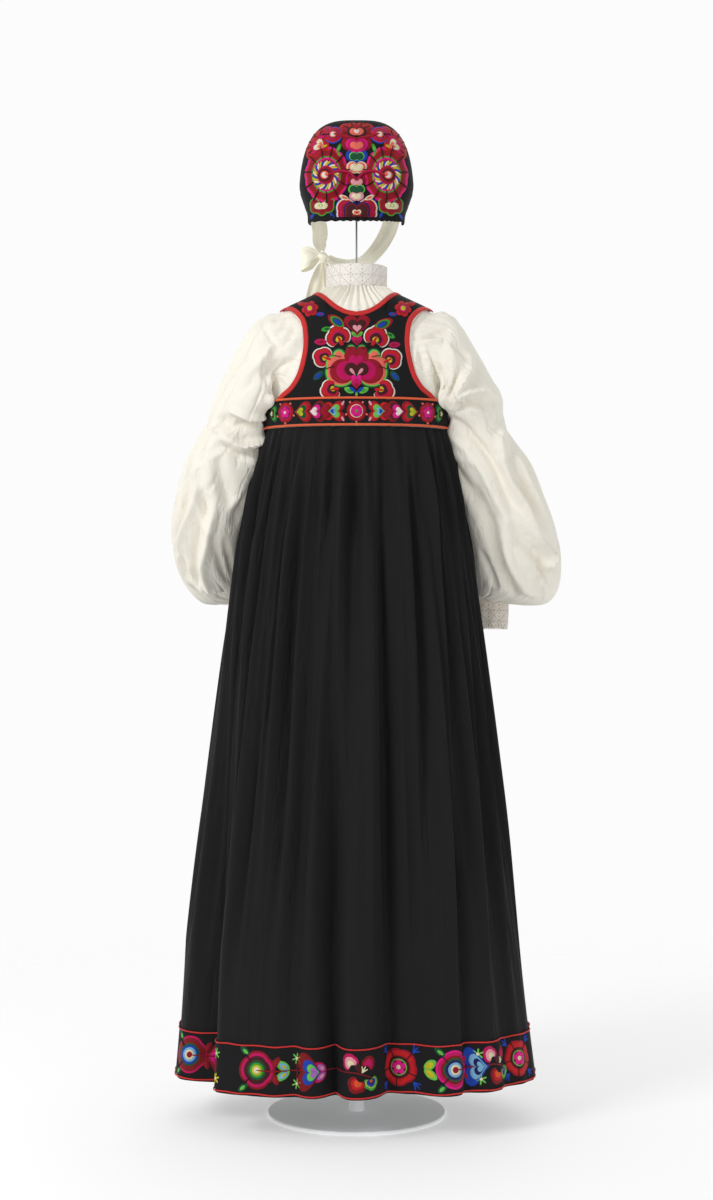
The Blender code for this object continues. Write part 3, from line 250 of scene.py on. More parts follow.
TORSO_FINE = smooth_rows(TORSO, 8)


def level_section(angle, height, half, back, front):
    """A rounded level section with its own depth behind and before; angle 0 is the middle of the back."""
    s, c = np.sin(np.radians(angle)), np.cos(np.radians(angle))
    power = 2 / SURFACE_SQUARENESS
    x, y = half * signed_power(s, power), -np.where(c > 0, back, front) * signed_power(c, power)
    return np.stack(np.broadcast_arrays(x, y, height), axis=-1)


def torso_surface(angle, height):
    sizes = (np.interp(height, TORSO_FINE[:, 0], TORSO_FINE[:, k]) for k in (1, 2, 3))
    return level_section(angle, height, *sizes)


def torso_point(angle, height, out=0.0):
    """A point of the torso; angle 0 is the middle of the back and 90 the right side, in degrees."""
    return lifted(torso_surface, np.asarray(angle, float), np.asarray(height, float), out, 1.5, 0.003)


def torso_angle(across, height, front):
    """The angle at which the torso has this distance from its middle plane."""
    half = np.interp(height, TORSO_FINE[:, 0], TORSO_FINE[:, 1])
    share = np.clip(np.abs(across) / half, 0.0, 1.0)
    angle = np.sign(across) * np.degrees(np.arcsin(share ** (SURFACE_SQUARENESS / 2)))
    return 180.0 - angle if front else angle


def on_torso(across, height, out, front=False):
    return torso_point(torso_angle(across, height, front), height, out)


def waist_surface(angle, height):
    """The band's outer face; angle 0 is the middle of the back, in degrees."""
    return level_section(angle, height, BAND_HALF_WIDTH, BAND_BACK, BAND_FRONT)


def skirt_surface(angle, height):
    """The skirt's outer face; angle as in the table of folds, in degrees."""
    heights, *columns = zip(*SKIRT[::-1])
    left, right, back, front = (np.interp(height, heights, column) for column in columns)
    turns = np.radians(angle)
    c, s = np.cos(turns), np.sin(turns)
    power = 2 / SURFACE_SQUARENESS
    x = -np.where(c > 0, left, right) * signed_power(c, power)
    y = -np.where(s > 0, back, front) * signed_power(s, power)
    moved = np.zeros(np.broadcast(angle, height).shape)
    down = (SKIRT_TOP - height) / (SKIRT_TOP - SKIRT_HEM)
    lean = (SKIRT_FOLD_MIDDLE - height) / (SKIRT_FOLD_MIDDLE - SKIRT_HEM)
    for fold in SKIRT_FOLDS:
        centre = fold.angle_high + (fold.angle_hem - fold.angle_high) * np.clip(lean, -0.6, 1.0)
        away = (angle - centre + 180.0) % 360.0 - 180.0
        grown = ease_in((fold.starts - height) / fold.starts) ** 0.8
        moved = moved + fold.depth * grown * np.exp(-(away / fold.half_angle) ** 2)
    gathered = ease_in((height - GATHERS_END) / 0.10) * np.clip(0.35 + down * 12.0, 0.0, 1.0)
    uneven = 2.4 * np.sin(turns * 7.0 + 1.0) + 1.2 * np.sin(turns * 19.0)
    number = (angle + uneven) / 360.0 * GATHER_COUNT
    uneven = 1.0 + 0.35 * np.sin(np.floor(number) * 2.4) * np.sin(number * pi) ** 2
    moved = moved + GATHER_DEPTH * gathered * uneven * np.sin(number * 2 * pi)
    moved = moved + skirt_ripple(turns, down)
    grown = 1 + moved / np.hypot(x, y)
    return np.stack(np.broadcast_arrays(x * grown, y * grown, height), axis=-1)


# Soft small undulations that run on down from the gathers: waves round the skirt, their size and drift.
Ripple = namedtuple("Ripple", "waves size drift")
SKIRT_RIPPLES = [Ripple(26, 0.0060, 3.0), Ripple(43, 0.0044, -2.0), Ripple(67, 0.0012, 4.0)]


def skirt_ripple(turns, down):
    fade = ease_in(down * 8.0) * (1.0 - 0.92 * ease_in((down - 0.60) / 0.30))
    total = 0.0
    for ripple in SKIRT_RIPPLES:
        wave = np.sin(ripple.waves * turns + ripple.drift * down + 2.0 * np.sin(3.0 * turns + ripple.drift))
        total = total + ripple.size * wave * (1.5 - 0.5 * wave ** 2)
    return fade * (total - 0.0050)


# ---------------------------------------------------------------- shader nodes
class Wiring:
    """Adds nodes to one world, material or group and wires them up."""

    def __init__(self, tree):
        self.nodes, self.links = tree.nodes, tree.links

    def feed(self, socket, value):
        """Gives a socket a number, a colour or another node's output."""
        if isinstance(value, (int, float)):
            socket.default_value = value
        elif isinstance(value, tuple):
            socket.default_value = (*value, 1.0)
        else:
            self.links.new(value, socket)

    def feed_all(self, node, inputs):
        """Feeds a node's inputs by name, where _ stands for a space."""
        for name, value in inputs.items():
            self.feed(node.inputs[name.replace("_", " ")], value)

    def add(self, kind, settings=None, **inputs):
        node = self.nodes.new("ShaderNode" + kind)
        for name, value in (settings or {}).items():
            setattr(node, name, value)
        self.feed_all(node, inputs)
        return node

    def math(self, operation, first, second=0.0, third=0.0):
        node = self.add("Math", {"operation": operation})
        for socket, value in zip(node.inputs, (first, second, third)):
            self.feed(socket, value)
        return node.outputs[0]

    def times(self, first, second):
        return self.math("MULTIPLY", first, second)

    def mix(self, factor, first, second, blend="MIX"):
        node = self.add("Mix", {"data_type": "RGBA", "blend_type": blend})
        for number, value in ((0, factor), (6, first), (7, second)):
            self.feed(node.inputs[number], value)
        return node.outputs[2]

    def eased(self, value, span, result, curve):
        """A value led softly from one span of numbers to another."""
        node = self.add("MapRange", {"interpolation_type": curve}, Value=value, From_Min=span[0],
                        From_Max=span[1], To_Min=result[0], To_Max=result[1])
        return node.outputs["Result"]

    def group(self, name, **inputs):
        """Places a shared group, which is made when it is first asked for."""
        if name not in GROUPS:
            GROUPS[name] = GROUP_MAKERS[name](name)
        return self.add("Group", {"node_tree": GROUPS[name]}, **inputs).outputs


class Look(Wiring):
    """A material round its one shader."""

    def __init__(self, name, color, roughness):
        self.material = bpy.data.materials.new(name)
        self.material.use_nodes = True
        super().__init__(self.material.node_tree)
        self.shader = self.nodes["Principled BSDF"]
        self.shade(Base_Color=color, Roughness=roughness)

    def shade(self, **inputs):
        self.feed_all(self.shader, inputs)

    def cloth_vector(self):
        """The cloth's own coordinates, in metres along its weft and warp."""
        return self.add("UVMap").outputs[0]

    # Colours the shader with drifting dye, and with painted shade where a Gap mask marks the gaps between
    # threads.
    def dye(self, color, **inputs):
        dyed = self.group("uneven_dye", Color=color, **inputs)["Color"]
        self.shade(Base_Color=dyed)
        return dyed

    def bump(self, *heights):
        total = heights[0]
        for height in heights[1:]:
            total = self.math("ADD", total, height)
        self.shade(Normal=self.add("Bump", Distance=1.0, Height=total).outputs[0])

    def sheen(self, weight, roughness, tint):
        self.shade(Sheen_Weight=weight, Sheen_Roughness=roughness, Sheen_Tint=tint)

    def soak_with_light(self, color, strength):
        """Painted glow: the cloth gives off a little light of its own colour, which lifts its shadows."""
        self.shade(Emission_Color=color, Emission_Strength=strength)

    def lay_threads(self, color, threads, depth, **dye):
        """Threads laid side by side over the whole cloth, in its colour, with painted shade between them."""
        laid = self.group("satin_stitch", Cloth_Vector=self.cloth_vector(), Threads=threads, Depth=depth)
        self.dye(color, Gap=laid["Gap"], **dye)
        self.bump(laid["Height"])

    def weave(self, color, threads, depth, crumple, **dye):
        """Plain weave with soft creases in it and painted shade in the gaps between its threads; crumple is
        (scale, stretch, depth).
        """
        vector = self.cloth_vector()
        woven = self.group("plain_weave", Cloth_Vector=vector, Threads=threads, Depth=depth)
        scale, stretch, rise = crumple
        soft = self.group("soft_crumple", Cloth_Vector=vector, Scale=scale, Stretch=stretch, Depth=rise)
        self.dye(color, Gap=woven["Gap"], **dye)
        self.bump(woven["Height"], soft["Height"])


def new_group(name, inputs, outputs):
    """An empty shader group: inputs by name with their first value (a vector has none), outputs by name."""
    group = bpy.data.node_groups.new(name, "ShaderNodeTree")
    for socket_name, value in inputs.items():
        kind = "Vector" if value is None else "Color" if isinstance(value, tuple) else "Float"
        socket = group.interface.new_socket(socket_name, in_out="INPUT", socket_type="NodeSocket" + kind)
        if value is not None:
            socket.default_value = value
    for socket_name in outputs:
        kind = "Color" if socket_name == "Color" else "Float"
        group.interface.new_socket(socket_name, in_out="OUTPUT", socket_type="NodeSocket" + kind)
    given, result = group.nodes.new("NodeGroupInput"), group.nodes.new("NodeGroupOutput")
    return group, Wiring(group), given.outputs, result.inputs


def plain_weave_group(name):
    """Warp and weft crossing over and under; the height is in metres, and Gap is a mask for painted shade
    between the threads.
    """
    group, wiring, given, result = new_group(
        name, {"Cloth Vector": None, "Threads": 1600.0, "Depth": 0.00012}, ("Height", "Gap"))
    axes = wiring.add("SeparateXYZ", Vector=given["Cloth Vector"]).outputs
    waves = [wiring.math("SINE", wiring.times(wiring.times(axis, given["Threads"]), pi)) for axis in axes[:2]]
    crossing = wiring.times(*[wiring.times(wave, wave) for wave in waves])
    wiring.feed(result["Height"], wiring.times(crossing, given["Depth"]))
    wiring.feed(result["Gap"], wiring.math("SUBTRACT", 1.0, crossing))
    return group


def soft_crumple_group(name):
    """Small soft creases drawn out along the cloth; the height is in metres."""
    group, wiring, given, result = new_group(
        name, {"Cloth Vector": None, "Scale": 20.0, "Stretch": 3.0, "Depth": 0.0008}, ("Height",))
    squeeze = wiring.add("CombineXYZ", X=given["Stretch"], Y=1.0, Z=1.0)
    stretched = wiring.add("VectorMath", {"operation": "MULTIPLY"}, Vector=given["Cloth Vector"])
    wiring.feed(stretched.inputs[1], squeeze.outputs[0])
    noise = wiring.add("TexNoise", Detail=2.5, Roughness=0.55, Vector=stretched.outputs[0],
                       Scale=given["Scale"]).outputs["Fac"]
    ridge = wiring.math("ABSOLUTE", wiring.math("SUBTRACT", noise, 0.5))
    wiring.feed(result["Height"], wiring.times(wiring.math("SUBTRACT", noise, ridge), given["Depth"]))
    return group


def uneven_dye_and_gap_shade_group(name):
    """Uneven dye and handling, with painted shade: the colour drifts a little over the cloth, and its gaps
    between threads are darkened as painted shade.
    """
    group, wiring, given, result = new_group(
        name, {"Color": (1, 1, 1, 1), "Scale": 14.0, "Amount": 0.10, "Gap": 0.0, "Gap Amount": 0.12},
        ("Color",))
    noise = wiring.add("TexNoise", Detail=4.0, Vector=wiring.add("TexCoord").outputs["Object"],
                       Scale=given["Scale"]).outputs["Fac"]
    drift = wiring.times(wiring.math("SUBTRACT", noise, 0.5), wiring.times(given["Amount"], 2.0))
    # painted shade: the gaps between threads are darkened by Gap Amount
    painted_gap_shade = wiring.times(given["Gap"], given["Gap Amount"])
    light = wiring.math("SUBTRACT", wiring.math("ADD", 1.0, drift), painted_gap_shade)
    grey = wiring.add("CombineColor", Red=light, Green=light, Blue=light)
    wiring.feed(result["Color"], wiring.mix(1.0, given["Color"], grey.outputs[0], "MULTIPLY"))
    return group


def satin_stitch_group(name):
    """Threads laid side by side: a height in metres, and a mask for painted shade between two threads."""
    group, wiring, given, result = new_group(
        name, {"Cloth Vector": None, "Threads": 1400.0, "Depth": 0.00025}, ("Height", "Gap"))
    axes = wiring.add("SeparateXYZ", Vector=given["Cloth Vector"]).outputs
    noise = wiring.add("TexNoise", Scale=400.0, Vector=given["Cloth Vector"]).outputs["Fac"]
    turned = wiring.math("MULTIPLY_ADD", noise, 1.2, wiring.times(axes[0], given["Threads"]))
    rounded = wiring.math("ABSOLUTE", wiring.math("SINE", wiring.times(turned, pi)))
    wiring.feed(result["Height"], wiring.times(rounded, given["Depth"]))
    wiring.feed(result["Gap"], wiring.math("SUBTRACT", 1.0, rounded))
    return group


GROUPS = {}
GROUP_MAKERS = {"plain_weave": plain_weave_group, "soft_crumple": soft_crumple_group,
                "uneven_dye": uneven_dye_and_gap_shade_group, "satin_stitch": satin_stitch_group}


# ---------------------------------------------------------------- floor, light and camera
FLOOR_HALF = 30.0
AIM = (0.0, 0.0, 0.95)
# Each light: where it is, its side and its power.
LIGHTS = {"key": ((-2.4, -2.3, 2.7), 1.3, 68.0), "fill": ((1.9, -3.0, 0.7), 2.0, 20.0),
          "back": ((0.6, 2.8, 2.9), 2.0, 12.0)}


def put_in_scene(name, data):
    thing = bpy.data.objects.new(name, data)
    bpy.context.scene.collection.objects.link(thing)
    return thing


def make_stage():
    scene = bpy.context.scene
    scene.view_settings.view_transform = "Standard"
    # white behind the costume, dimmer on the side that the lamps stand on
    scene.world = bpy.data.worlds.new("soft_white_room")
    scene.world.use_nodes = True
    room = Wiring(scene.world.node_tree)
    axes = room.add("SeparateXYZ", Vector=room.add("TexCoord").outputs["Generated"]).outputs
    strength = room.eased(axes[1], (-0.55, 0.75), (0.57, 0.975), "SMOOTHSTEP")
    room.feed_all(room.nodes["Background"], {"Strength": strength, "Color": (1.0, 1.0, 1.0)})

    mesh = bpy.data.meshes.new("studio_floor")
    corners = [(x * FLOOR_HALF, y * FLOOR_HALF, 0) for x, y in ((-1, -1), (1, -1), (1, 1), (-1, 1))]
    mesh.from_pydata(corners, [], [(0, 1, 2, 3)])
    floor = put_in_scene("studio_floor", mesh)
    look = Look("studio_floor", (0.55, 0.55, 0.55), 0.9)
    grain = look.add("TexNoise", Scale=3.0).outputs["Fac"]
    tone = look.mix(grain, (0.54, 0.54, 0.54), (0.57, 0.57, 0.57))
    # the floor melts into the white behind it
    away = look.add("VectorMath", {"operation": "LENGTH"}, Vector=look.add("TexCoord").outputs["Object"])
    fade = look.eased(away.outputs["Value"], (0.55, 2.4), (1.0, 0.0), "SMOOTHERSTEP")
    look.shade(Base_Color=tone, Emission_Strength=0.42, Alpha=fade)
    mesh.materials.append(look.material)

    for name, (place, side, power) in LIGHTS.items():
        data = bpy.data.lights.new(name, "AREA")
        data.size, data.energy = side, power
        aim_at(put_in_scene(name, data), place, AIM)
    data = bpy.data.cameras.new("camera")
    data.lens = CAMERA_LENS
    scene.camera = put_in_scene("camera", data)
    scene.camera.location = (0.0, -CAMERA_DISTANCE, CAMERA_HEIGHT)
    scene.camera.rotation_euler = (pi / 2, 0.0, 0.0)


def aim_at(thing, place, target):
    """Places a light and turns it to face a point."""
    offset = np.array(target) - np.array(place)
    level = np.hypot(offset[0], offset[1])
    thing.location = place
    thing.rotation_euler = (pi / 2 + np.arctan2(offset[2], level), 0.0, np.arctan2(-offset[0], offset[1]))


# ---------------------------------------------------------------- materials
def linear(red, green, blue):
    """A colour given in display values, 0 to 255, as the linear values that shaders take."""
    shares = np.array([red, green, blue]) / 255.0
    return tuple(np.where(shares <= 0.04045, shares / 12.92, ((shares + 0.055) / 1.055) ** 2.4))


def woven_material(name, color, roughness, threads, depth, crumple, sheen, drift=0.08, soak=0.0):
    """Woven cloth; depth is the threads' height, sheen a weight, and soak a painted glow that lifts a pale
    cloth's shadows.
    """
    look = Look(name, color, roughness)
    # Gap_Amount darkens the gaps between threads: painted shade.
    look.weave(color, threads, depth, crumple, Amount=drift, Gap_Amount=0.10)
    look.sheen(sheen, 0.4, tuple(min(1.0, value + 0.25) for value in color))
    look.shade(Specular_IOR_Level=0.25)
    look.soak_with_light(color, soak)
    return look.material


def whitework_material(name, color, openness, relief_height):
    """Pattern darning and drawn-thread work: diamond lattices with small holes along their lines, the holes
    darkened as painted shade.
    """
    look = Look(name, color, 0.75)
    axes = look.add("SeparateXYZ", Vector=look.cloth_vector()).outputs
    slants = [look.math(way, axes[0], axes[1]) for way in ("ADD", "SUBTRACT")]

    def lattice(join, ways, repeats):
        """Ridges along two ways of the cloth, joined."""
        return look.math(join, *[look.math("ABSOLUTE", look.math("SINE", look.times(way, pi * repeats)))
                                 for way in ways])

    fine = lattice("MULTIPLY", slants, 380.0)
    middling = lattice("MULTIPLY", slants, 150.0)
    diamonds = lattice("MINIMUM", slants, 52.0)
    squares = lattice("MINIMUM", axes[:2], 52.0)
    rays = look.math("LESS_THAN", look.math("MINIMUM", diamonds, squares), 0.20)
    holes = look.math("GREATER_THAN", middling, 0.42)
    open_work = look.times(holes, rays)
    # painted shade: the holes along the lattice lines are darkened
    look.dye(color, Amount=0.06, Gap=open_work, Gap_Amount=openness)
    height = look.times(look.math("SUBTRACT", rays, open_work), relief_height)
    look.bump(height, look.times(fine, relief_height * 0.7))
    look.sheen(0.15, 0.5, (1.0, 1.0, 0.95))
    return look.material


def embroidery_material(name):
    """Stitching in coloured wool: each patch carries its thread's colour."""
    look = Look(name, (0.5, 0.05, 0.05), 0.62)
    color = look.add("Attribute", {"attribute_name": "thread"}).outputs["Color"]
    # Gap_Amount darkens the gaps between threads: painted shade.
    look.lay_threads(color, 1500.0, 0.00022, Scale=60.0, Amount=0.14, Gap_Amount=0.35)
    look.sheen(0.03, 0.45, (1.0, 0.8, 0.8))
    look.shade(Specular_IOR_Level=0.22)
    return look.material


def tape_material(name, color):
    """Ribbed woollen tape for bindings, pipings and cords: ribs across its length."""
    look = Look(name, color, 0.75)
    # Gap_Amount darkens the gaps between ribs: painted shade.
    look.lay_threads(color, 900.0, 0.00018, Scale=35.0, Amount=0.16, Gap_Amount=0.25)
    look.sheen(0.2, 0.4, (1.0, 0.6, 0.5))
    return look.material


def silk_material(name, color):
    """Soft ribbon silk: lengthwise streaks, a fine rib across and a low sheen."""
    look = Look(name, color, 0.42)
    # Gap_Amount darkens the gaps between threads: painted shade.
    look.weave(color, 2600.0, 0.00004, (22.0, 7.0, 0.0016), Scale=26.0, Amount=0.10, Gap_Amount=0.05)
    look.sheen(0.35, 0.3, (1.0, 0.98, 0.88))
    # painted glow that lifts the ribbon's shadows
    look.soak_with_light(color, 0.10)
    look.shade(Anisotropic=0.4)
    return look.material


def painted_material(name, color, roughness, metallic=0.0, glow=0.0):
    """Satin paint or drawn steel, with faint mottling and handling marks; glow is a painted glow of the paint's
    own colour that lifts its shadows.
    """
    look = Look(name, color, roughness)
    dyed = look.dye(color, Scale=9.0, Amount=0.05)
    noise = look.add("TexNoise", Scale=260.0, Vector=look.add("TexCoord").outputs["Object"]).outputs["Fac"]
    spread = look.math("MULTIPLY_ADD", noise, 0.14, roughness - 0.07)
    look.shade(Metallic=metallic, Emission_Color=dyed, Emission_Strength=glow, Roughness=spread)
    look.bump(look.times(noise, 0.00003))
    return look.material


# ---------------------------------------------------------------- mesh building
def cloth_mesh(name, points, faces, uvs, material, sharp_angle=None):
    """A named smooth object from points, faces and the cloth coordinates of every face corner."""
    mesh = bpy.data.meshes.new(name)
    mesh.from_pydata(points.tolist(), [], faces)
    mesh.uv_layers.new(name="UVMap").data.foreach_set("uv", np.array(uvs).reshape(-1))
    mesh.shade_smooth()
    if sharp_angle:
        mesh.set_sharp_from_angle(angle=radians(sharp_angle))
    mesh.materials.append(material)
    return put_in_scene(name, mesh)


def grid_normals(grid, closed, inside):
    """Unit normals of a grid of points (rows, columns), away from the inside point or points."""
    if closed:
        across = np.roll(grid, -1, axis=1) - np.roll(grid, 1, axis=1)
    else:
        across = np.gradient(grid, axis=1)
    normals = unit(np.cross(across, np.gradient(grid, axis=0)))
    if (normals * (grid - np.asarray(inside))).sum() < 0:
        normals = -normals
    return normals


def grid_faces(rows, columns, closed):
    """Quads of a grid as point numbers, and each corner's (row, column) with the column past a seam kept."""
    r, c = np.meshgrid(np.arange(rows - 1), np.arange(columns if closed else columns - 1), indexing="ij")
    r, c = r.ravel(), c.ravel()
    corner_rows = np.stack([r, r, r + 1, r + 1], axis=1)
    corner_columns = np.stack([c, c + 1, c + 1, c], axis=1)
    return corner_rows * columns + corner_columns % columns, corner_rows, corner_columns


def cloth_shell(name, grid, thickness, closed, material, inside=(0.0, 0.0, 0.0)):
    """A closed thin shell of cloth whose outer face is a grid of points (rows, columns)."""
    grid = np.asarray(grid, float)
    rows, columns = grid.shape[:2]
    inner = grid - grid_normals(grid, closed, inside) * thickness
    points = np.concatenate([grid.reshape(-1, 3), inner.reshape(-1, 3)])
    count = rows * columns
    middle = grid[rows // 2]
    along = lengths_along(np.vstack([middle, middle[:1]]) if closed else middle)
    down = lengths_along(grid[:, columns // 2])
    outer_faces, corner_rows, corner_columns = grid_faces(rows, columns, closed)
    uvs = np.stack([along[corner_columns], down[corner_rows]], axis=-1)
    faces = [outer_faces, (outer_faces + count)[:, ::-1]]
    corner_uvs = [uvs, uvs[:, ::-1]]

    def add_rim(a, b, across, up, turned):
        """The narrow strip that joins the two faces along one edge."""
        rim = np.stack([a, a + count, b + count, b], axis=1)
        faces.append(rim[:, ::-1] if turned else rim)
        corner_uvs.append(np.stack([np.stack(np.broadcast_arrays(across, up), axis=-1)] * 4, axis=1))

    span = np.arange(columns if closed else columns - 1)
    for row, turned in ((0, False), (rows - 1, True)):
        add_rim(row * columns + span, row * columns + (span + 1) % columns, along[span], down[row], turned)
    if not closed:
        span = np.arange(rows - 1)
        for column, turned in ((0, True), (columns - 1, False)):
            add_rim(span * columns + column, (span + 1) * columns + column, along[column], down[span], turned)
    faces, corner_uvs = np.concatenate(faces), np.concatenate(corner_uvs)
    corners = points[faces]
    volume = [np.linalg.det(corners[:, (0, k, k + 1)] - points.mean(axis=0)).sum() for k in (1, 2)]
    if sum(volume) < 0:
        faces, corner_uvs = faces[:, ::-1], corner_uvs[:, ::-1]
    return cloth_mesh(name, points, faces.tolist(), corner_uvs, material, SHELL_SHARP_ANGLE)


def tube(name, rings, closed_along, material):
    """A tube through rings of points (stations, around); its ends are capped unless it is a loop."""
    rings = np.asarray(rings, float)
    stations, around = rings.shape[:2]
    walk = rings.mean(axis=1)
    along = lengths_along(np.concatenate([walk, walk[:1]]) if closed_along else walk)
    girth = lengths_along(np.vstack([rings[0], rings[0][:1]]))
    faces, corner_stations, corner_turns = grid_faces(stations + closed_along, around, True)
    faces = faces % (stations * around)
    uvs = np.stack([along[corner_stations], girth[corner_turns]], axis=-1)
    points = rings.reshape(-1, 3)
    if not closed_along:
        points = np.concatenate([points, np.stack([rings[0].mean(axis=0), rings[-1].mean(axis=0)])])
        c = np.arange(around)
        for station, number, turned in ((0, 0, True), (stations - 1, 1, False)):
            a, b = station * around + c, station * around + (c + 1) % around
            middle = np.full(around, stations * around + number)
            cap = np.stack([a, b, middle, middle], axis=1)
            faces = np.concatenate([faces, cap[:, ::-1] if turned else cap])
            uvs = np.concatenate([uvs, np.full((around, 4, 2), along[station])])
    # a quad whose last point is given twice becomes a triangle
    kept_faces, kept_uvs = [], []
    for face, uv in zip(faces.tolist(), uvs.tolist()):
        kept = [k for k in range(4) if face[k] != face[k - 1]]
        kept_faces.append([face[k] for k in kept])
        kept_uvs += [uv[k] for k in kept]
    return cloth_mesh(name, points, kept_faces, kept_uvs, material, TUBE_SHARP_ANGLE)


def place(piece, slot, *nodes):
    """Rides the piece on the costume's one body and hides the plain solids it stands for. The slot is not used.
    """
    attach(piece, "root")
    if nodes:
        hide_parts(*nodes)


# ---------------------------------------------------------------- creases
# A crease runs through places of a sleeve, in (rings down it, degrees round it). Its depth is negative for a
# trough and positive for a ridge; a roll stands proud on its left and sinks on its right.
Crease = namedtuple("Crease", "path width depth roll")
RING_REACH = 0.046        # mean distance between two rings
DEGREE_REACH = 0.0013     # mean distance round the sleeve for one degree


def crease_moves(crease, across, down):
    """How far one crease moves each place of a sleeve, whose places are given in degrees and rings."""
    best = np.full(across.shape, 1e9)
    side = np.zeros(across.shape)
    share = np.zeros(across.shape)
    total = len(crease.path) - 1
    for k, ((r0, a0), (r1, a1)) in enumerate(zip(crease.path, crease.path[1:])):
        x, y = ((across - a0 + 180.0) % 360.0 - 180.0) * DEGREE_REACH, (down - r0) * RING_REACH
        dx, dy = (a1 - a0) * DEGREE_REACH, (r1 - r0) * RING_REACH
        length = max(np.hypot(dx, dy), 1e-9)
        t = np.clip((x * dx + y * dy) / length ** 2, 0.0, 1.0)
        gap_x, gap_y = x - t * dx, y - t * dy
        distance = np.hypot(gap_x, gap_y)
        nearer = distance < best
        best = np.where(nearer, distance, best)
        side = np.where(nearer, (dx * y - dy * x) / length, side)
        share = np.where(nearer, (k + t) / total, share)
    fade = np.sin(pi * np.clip(share, 0.0, 1.0)) ** 0.6
    bell = np.exp(-(best / crease.width) ** 2)
    if crease.roll:
        turn = np.clip(side / crease.width, -2.5, 2.5)
        return crease.depth * fade * turn * np.exp(0.5 - turn ** 2) * bell ** 0.15
    return crease.depth * fade * bell


# ---------------------------------------------------------------- shirt
NECK_GATHERS = 27
NECK_GATHER_DEPTH = 0.0070
NECK_GATHERS_FROM = 1.318
SHIRT_WALL = 0.0010
SLEEVE_WALL = 0.0011
SLEEVE_OUT = 0.0027
SLEEVE_COLUMNS = 180
SLEEVE_STEPS = 9          # rows between two rings of the table
UNDER_BODICE_ANGLE = 63.0   # the sleeve's cloth runs on in under the bodice's armhole
UNDER_BODICE_MIDDLE = 1.272
UNDER_BODICE_HALF_HEIGHT = 0.083
SMALL_CREASES = 70
MOST_IN, MOST_OUT = -0.022, 0.014   # how far creases may move the sleeve's cloth


def armhole_half_angle(height):
    share = np.clip((height - ARMHOLE_MIDDLE) / ARMHOLE_HALF_HEIGHT, -1.0, 1.0)
    return ARMHOLE_HALF_ANGLE * np.sqrt(1.0 - share ** 2)


def make_shirt_half(name, front, material):
    """Half of the shirt's body: close gathers under the collar and an armhole out of each side."""
    heights = np.concatenate([np.linspace(SHIRT_TOP, 1.310, 44), np.linspace(1.305, SHIRT_BOTTOM, 30)])
    shares = np.linspace(-1.0, 1.0, 221)
    reach = 89.9 - armhole_half_angle(heights)
    angles = reach[:, None] * shares[None]
    fade = ease_in((heights - NECK_GATHERS_FROM) / (SHIRT_TOP - NECK_GATHERS_FROM))[:, None]
    number = shares * NECK_GATHERS / 2 * 1.12 + 0.18 * np.sin(shares * 9.0)
    drift = 0.10 * np.sin(number * 1.7) * (1.0 - fade)
    fold = np.abs(np.cos((number + drift) * pi)) ** 1.4
    uneven = 0.75 + 0.25 * np.sin(np.floor(number) * 2.9)
    height_grid = np.broadcast_to(heights[:, None], angles.shape)
    out = SHIRT_OUT + NECK_GATHER_DEPTH * fade ** 0.7 * fold * uneven
    grid = torso_point(180.0 - angles if front else angles, height_grid, out)
    return cloth_shell(name, grid, SHIRT_WALL, False, material, (0.0, 0.0, 1.2))


# The back of the sleeve is held straight across the hollow between the shoulder blade and the arm.
SPAN_FROM = 0.0         # in rings down the sleeve
SPAN_TO = 2.3
SPAN_MIDDLE = 262.0     # in degrees round it
SPAN_REACH = 60.0
SPAN_TIGHTNESS = 0.8
# Loose cloth that hangs in behind the arm, over the band's end and the skirt's edge: where and how far.
InnerFold = namedtuple("InnerFold", "ring rings degree degrees move")
INNER_FOLDS = [
    InnerFold(2.3, 1.7, 219.0, 26.0, np.array([-0.022, -0.010, -0.013])),
    InnerFold(7.4, 2.6, 214.0, 22.0, np.array([-0.019, -0.006, -0.002])),
]


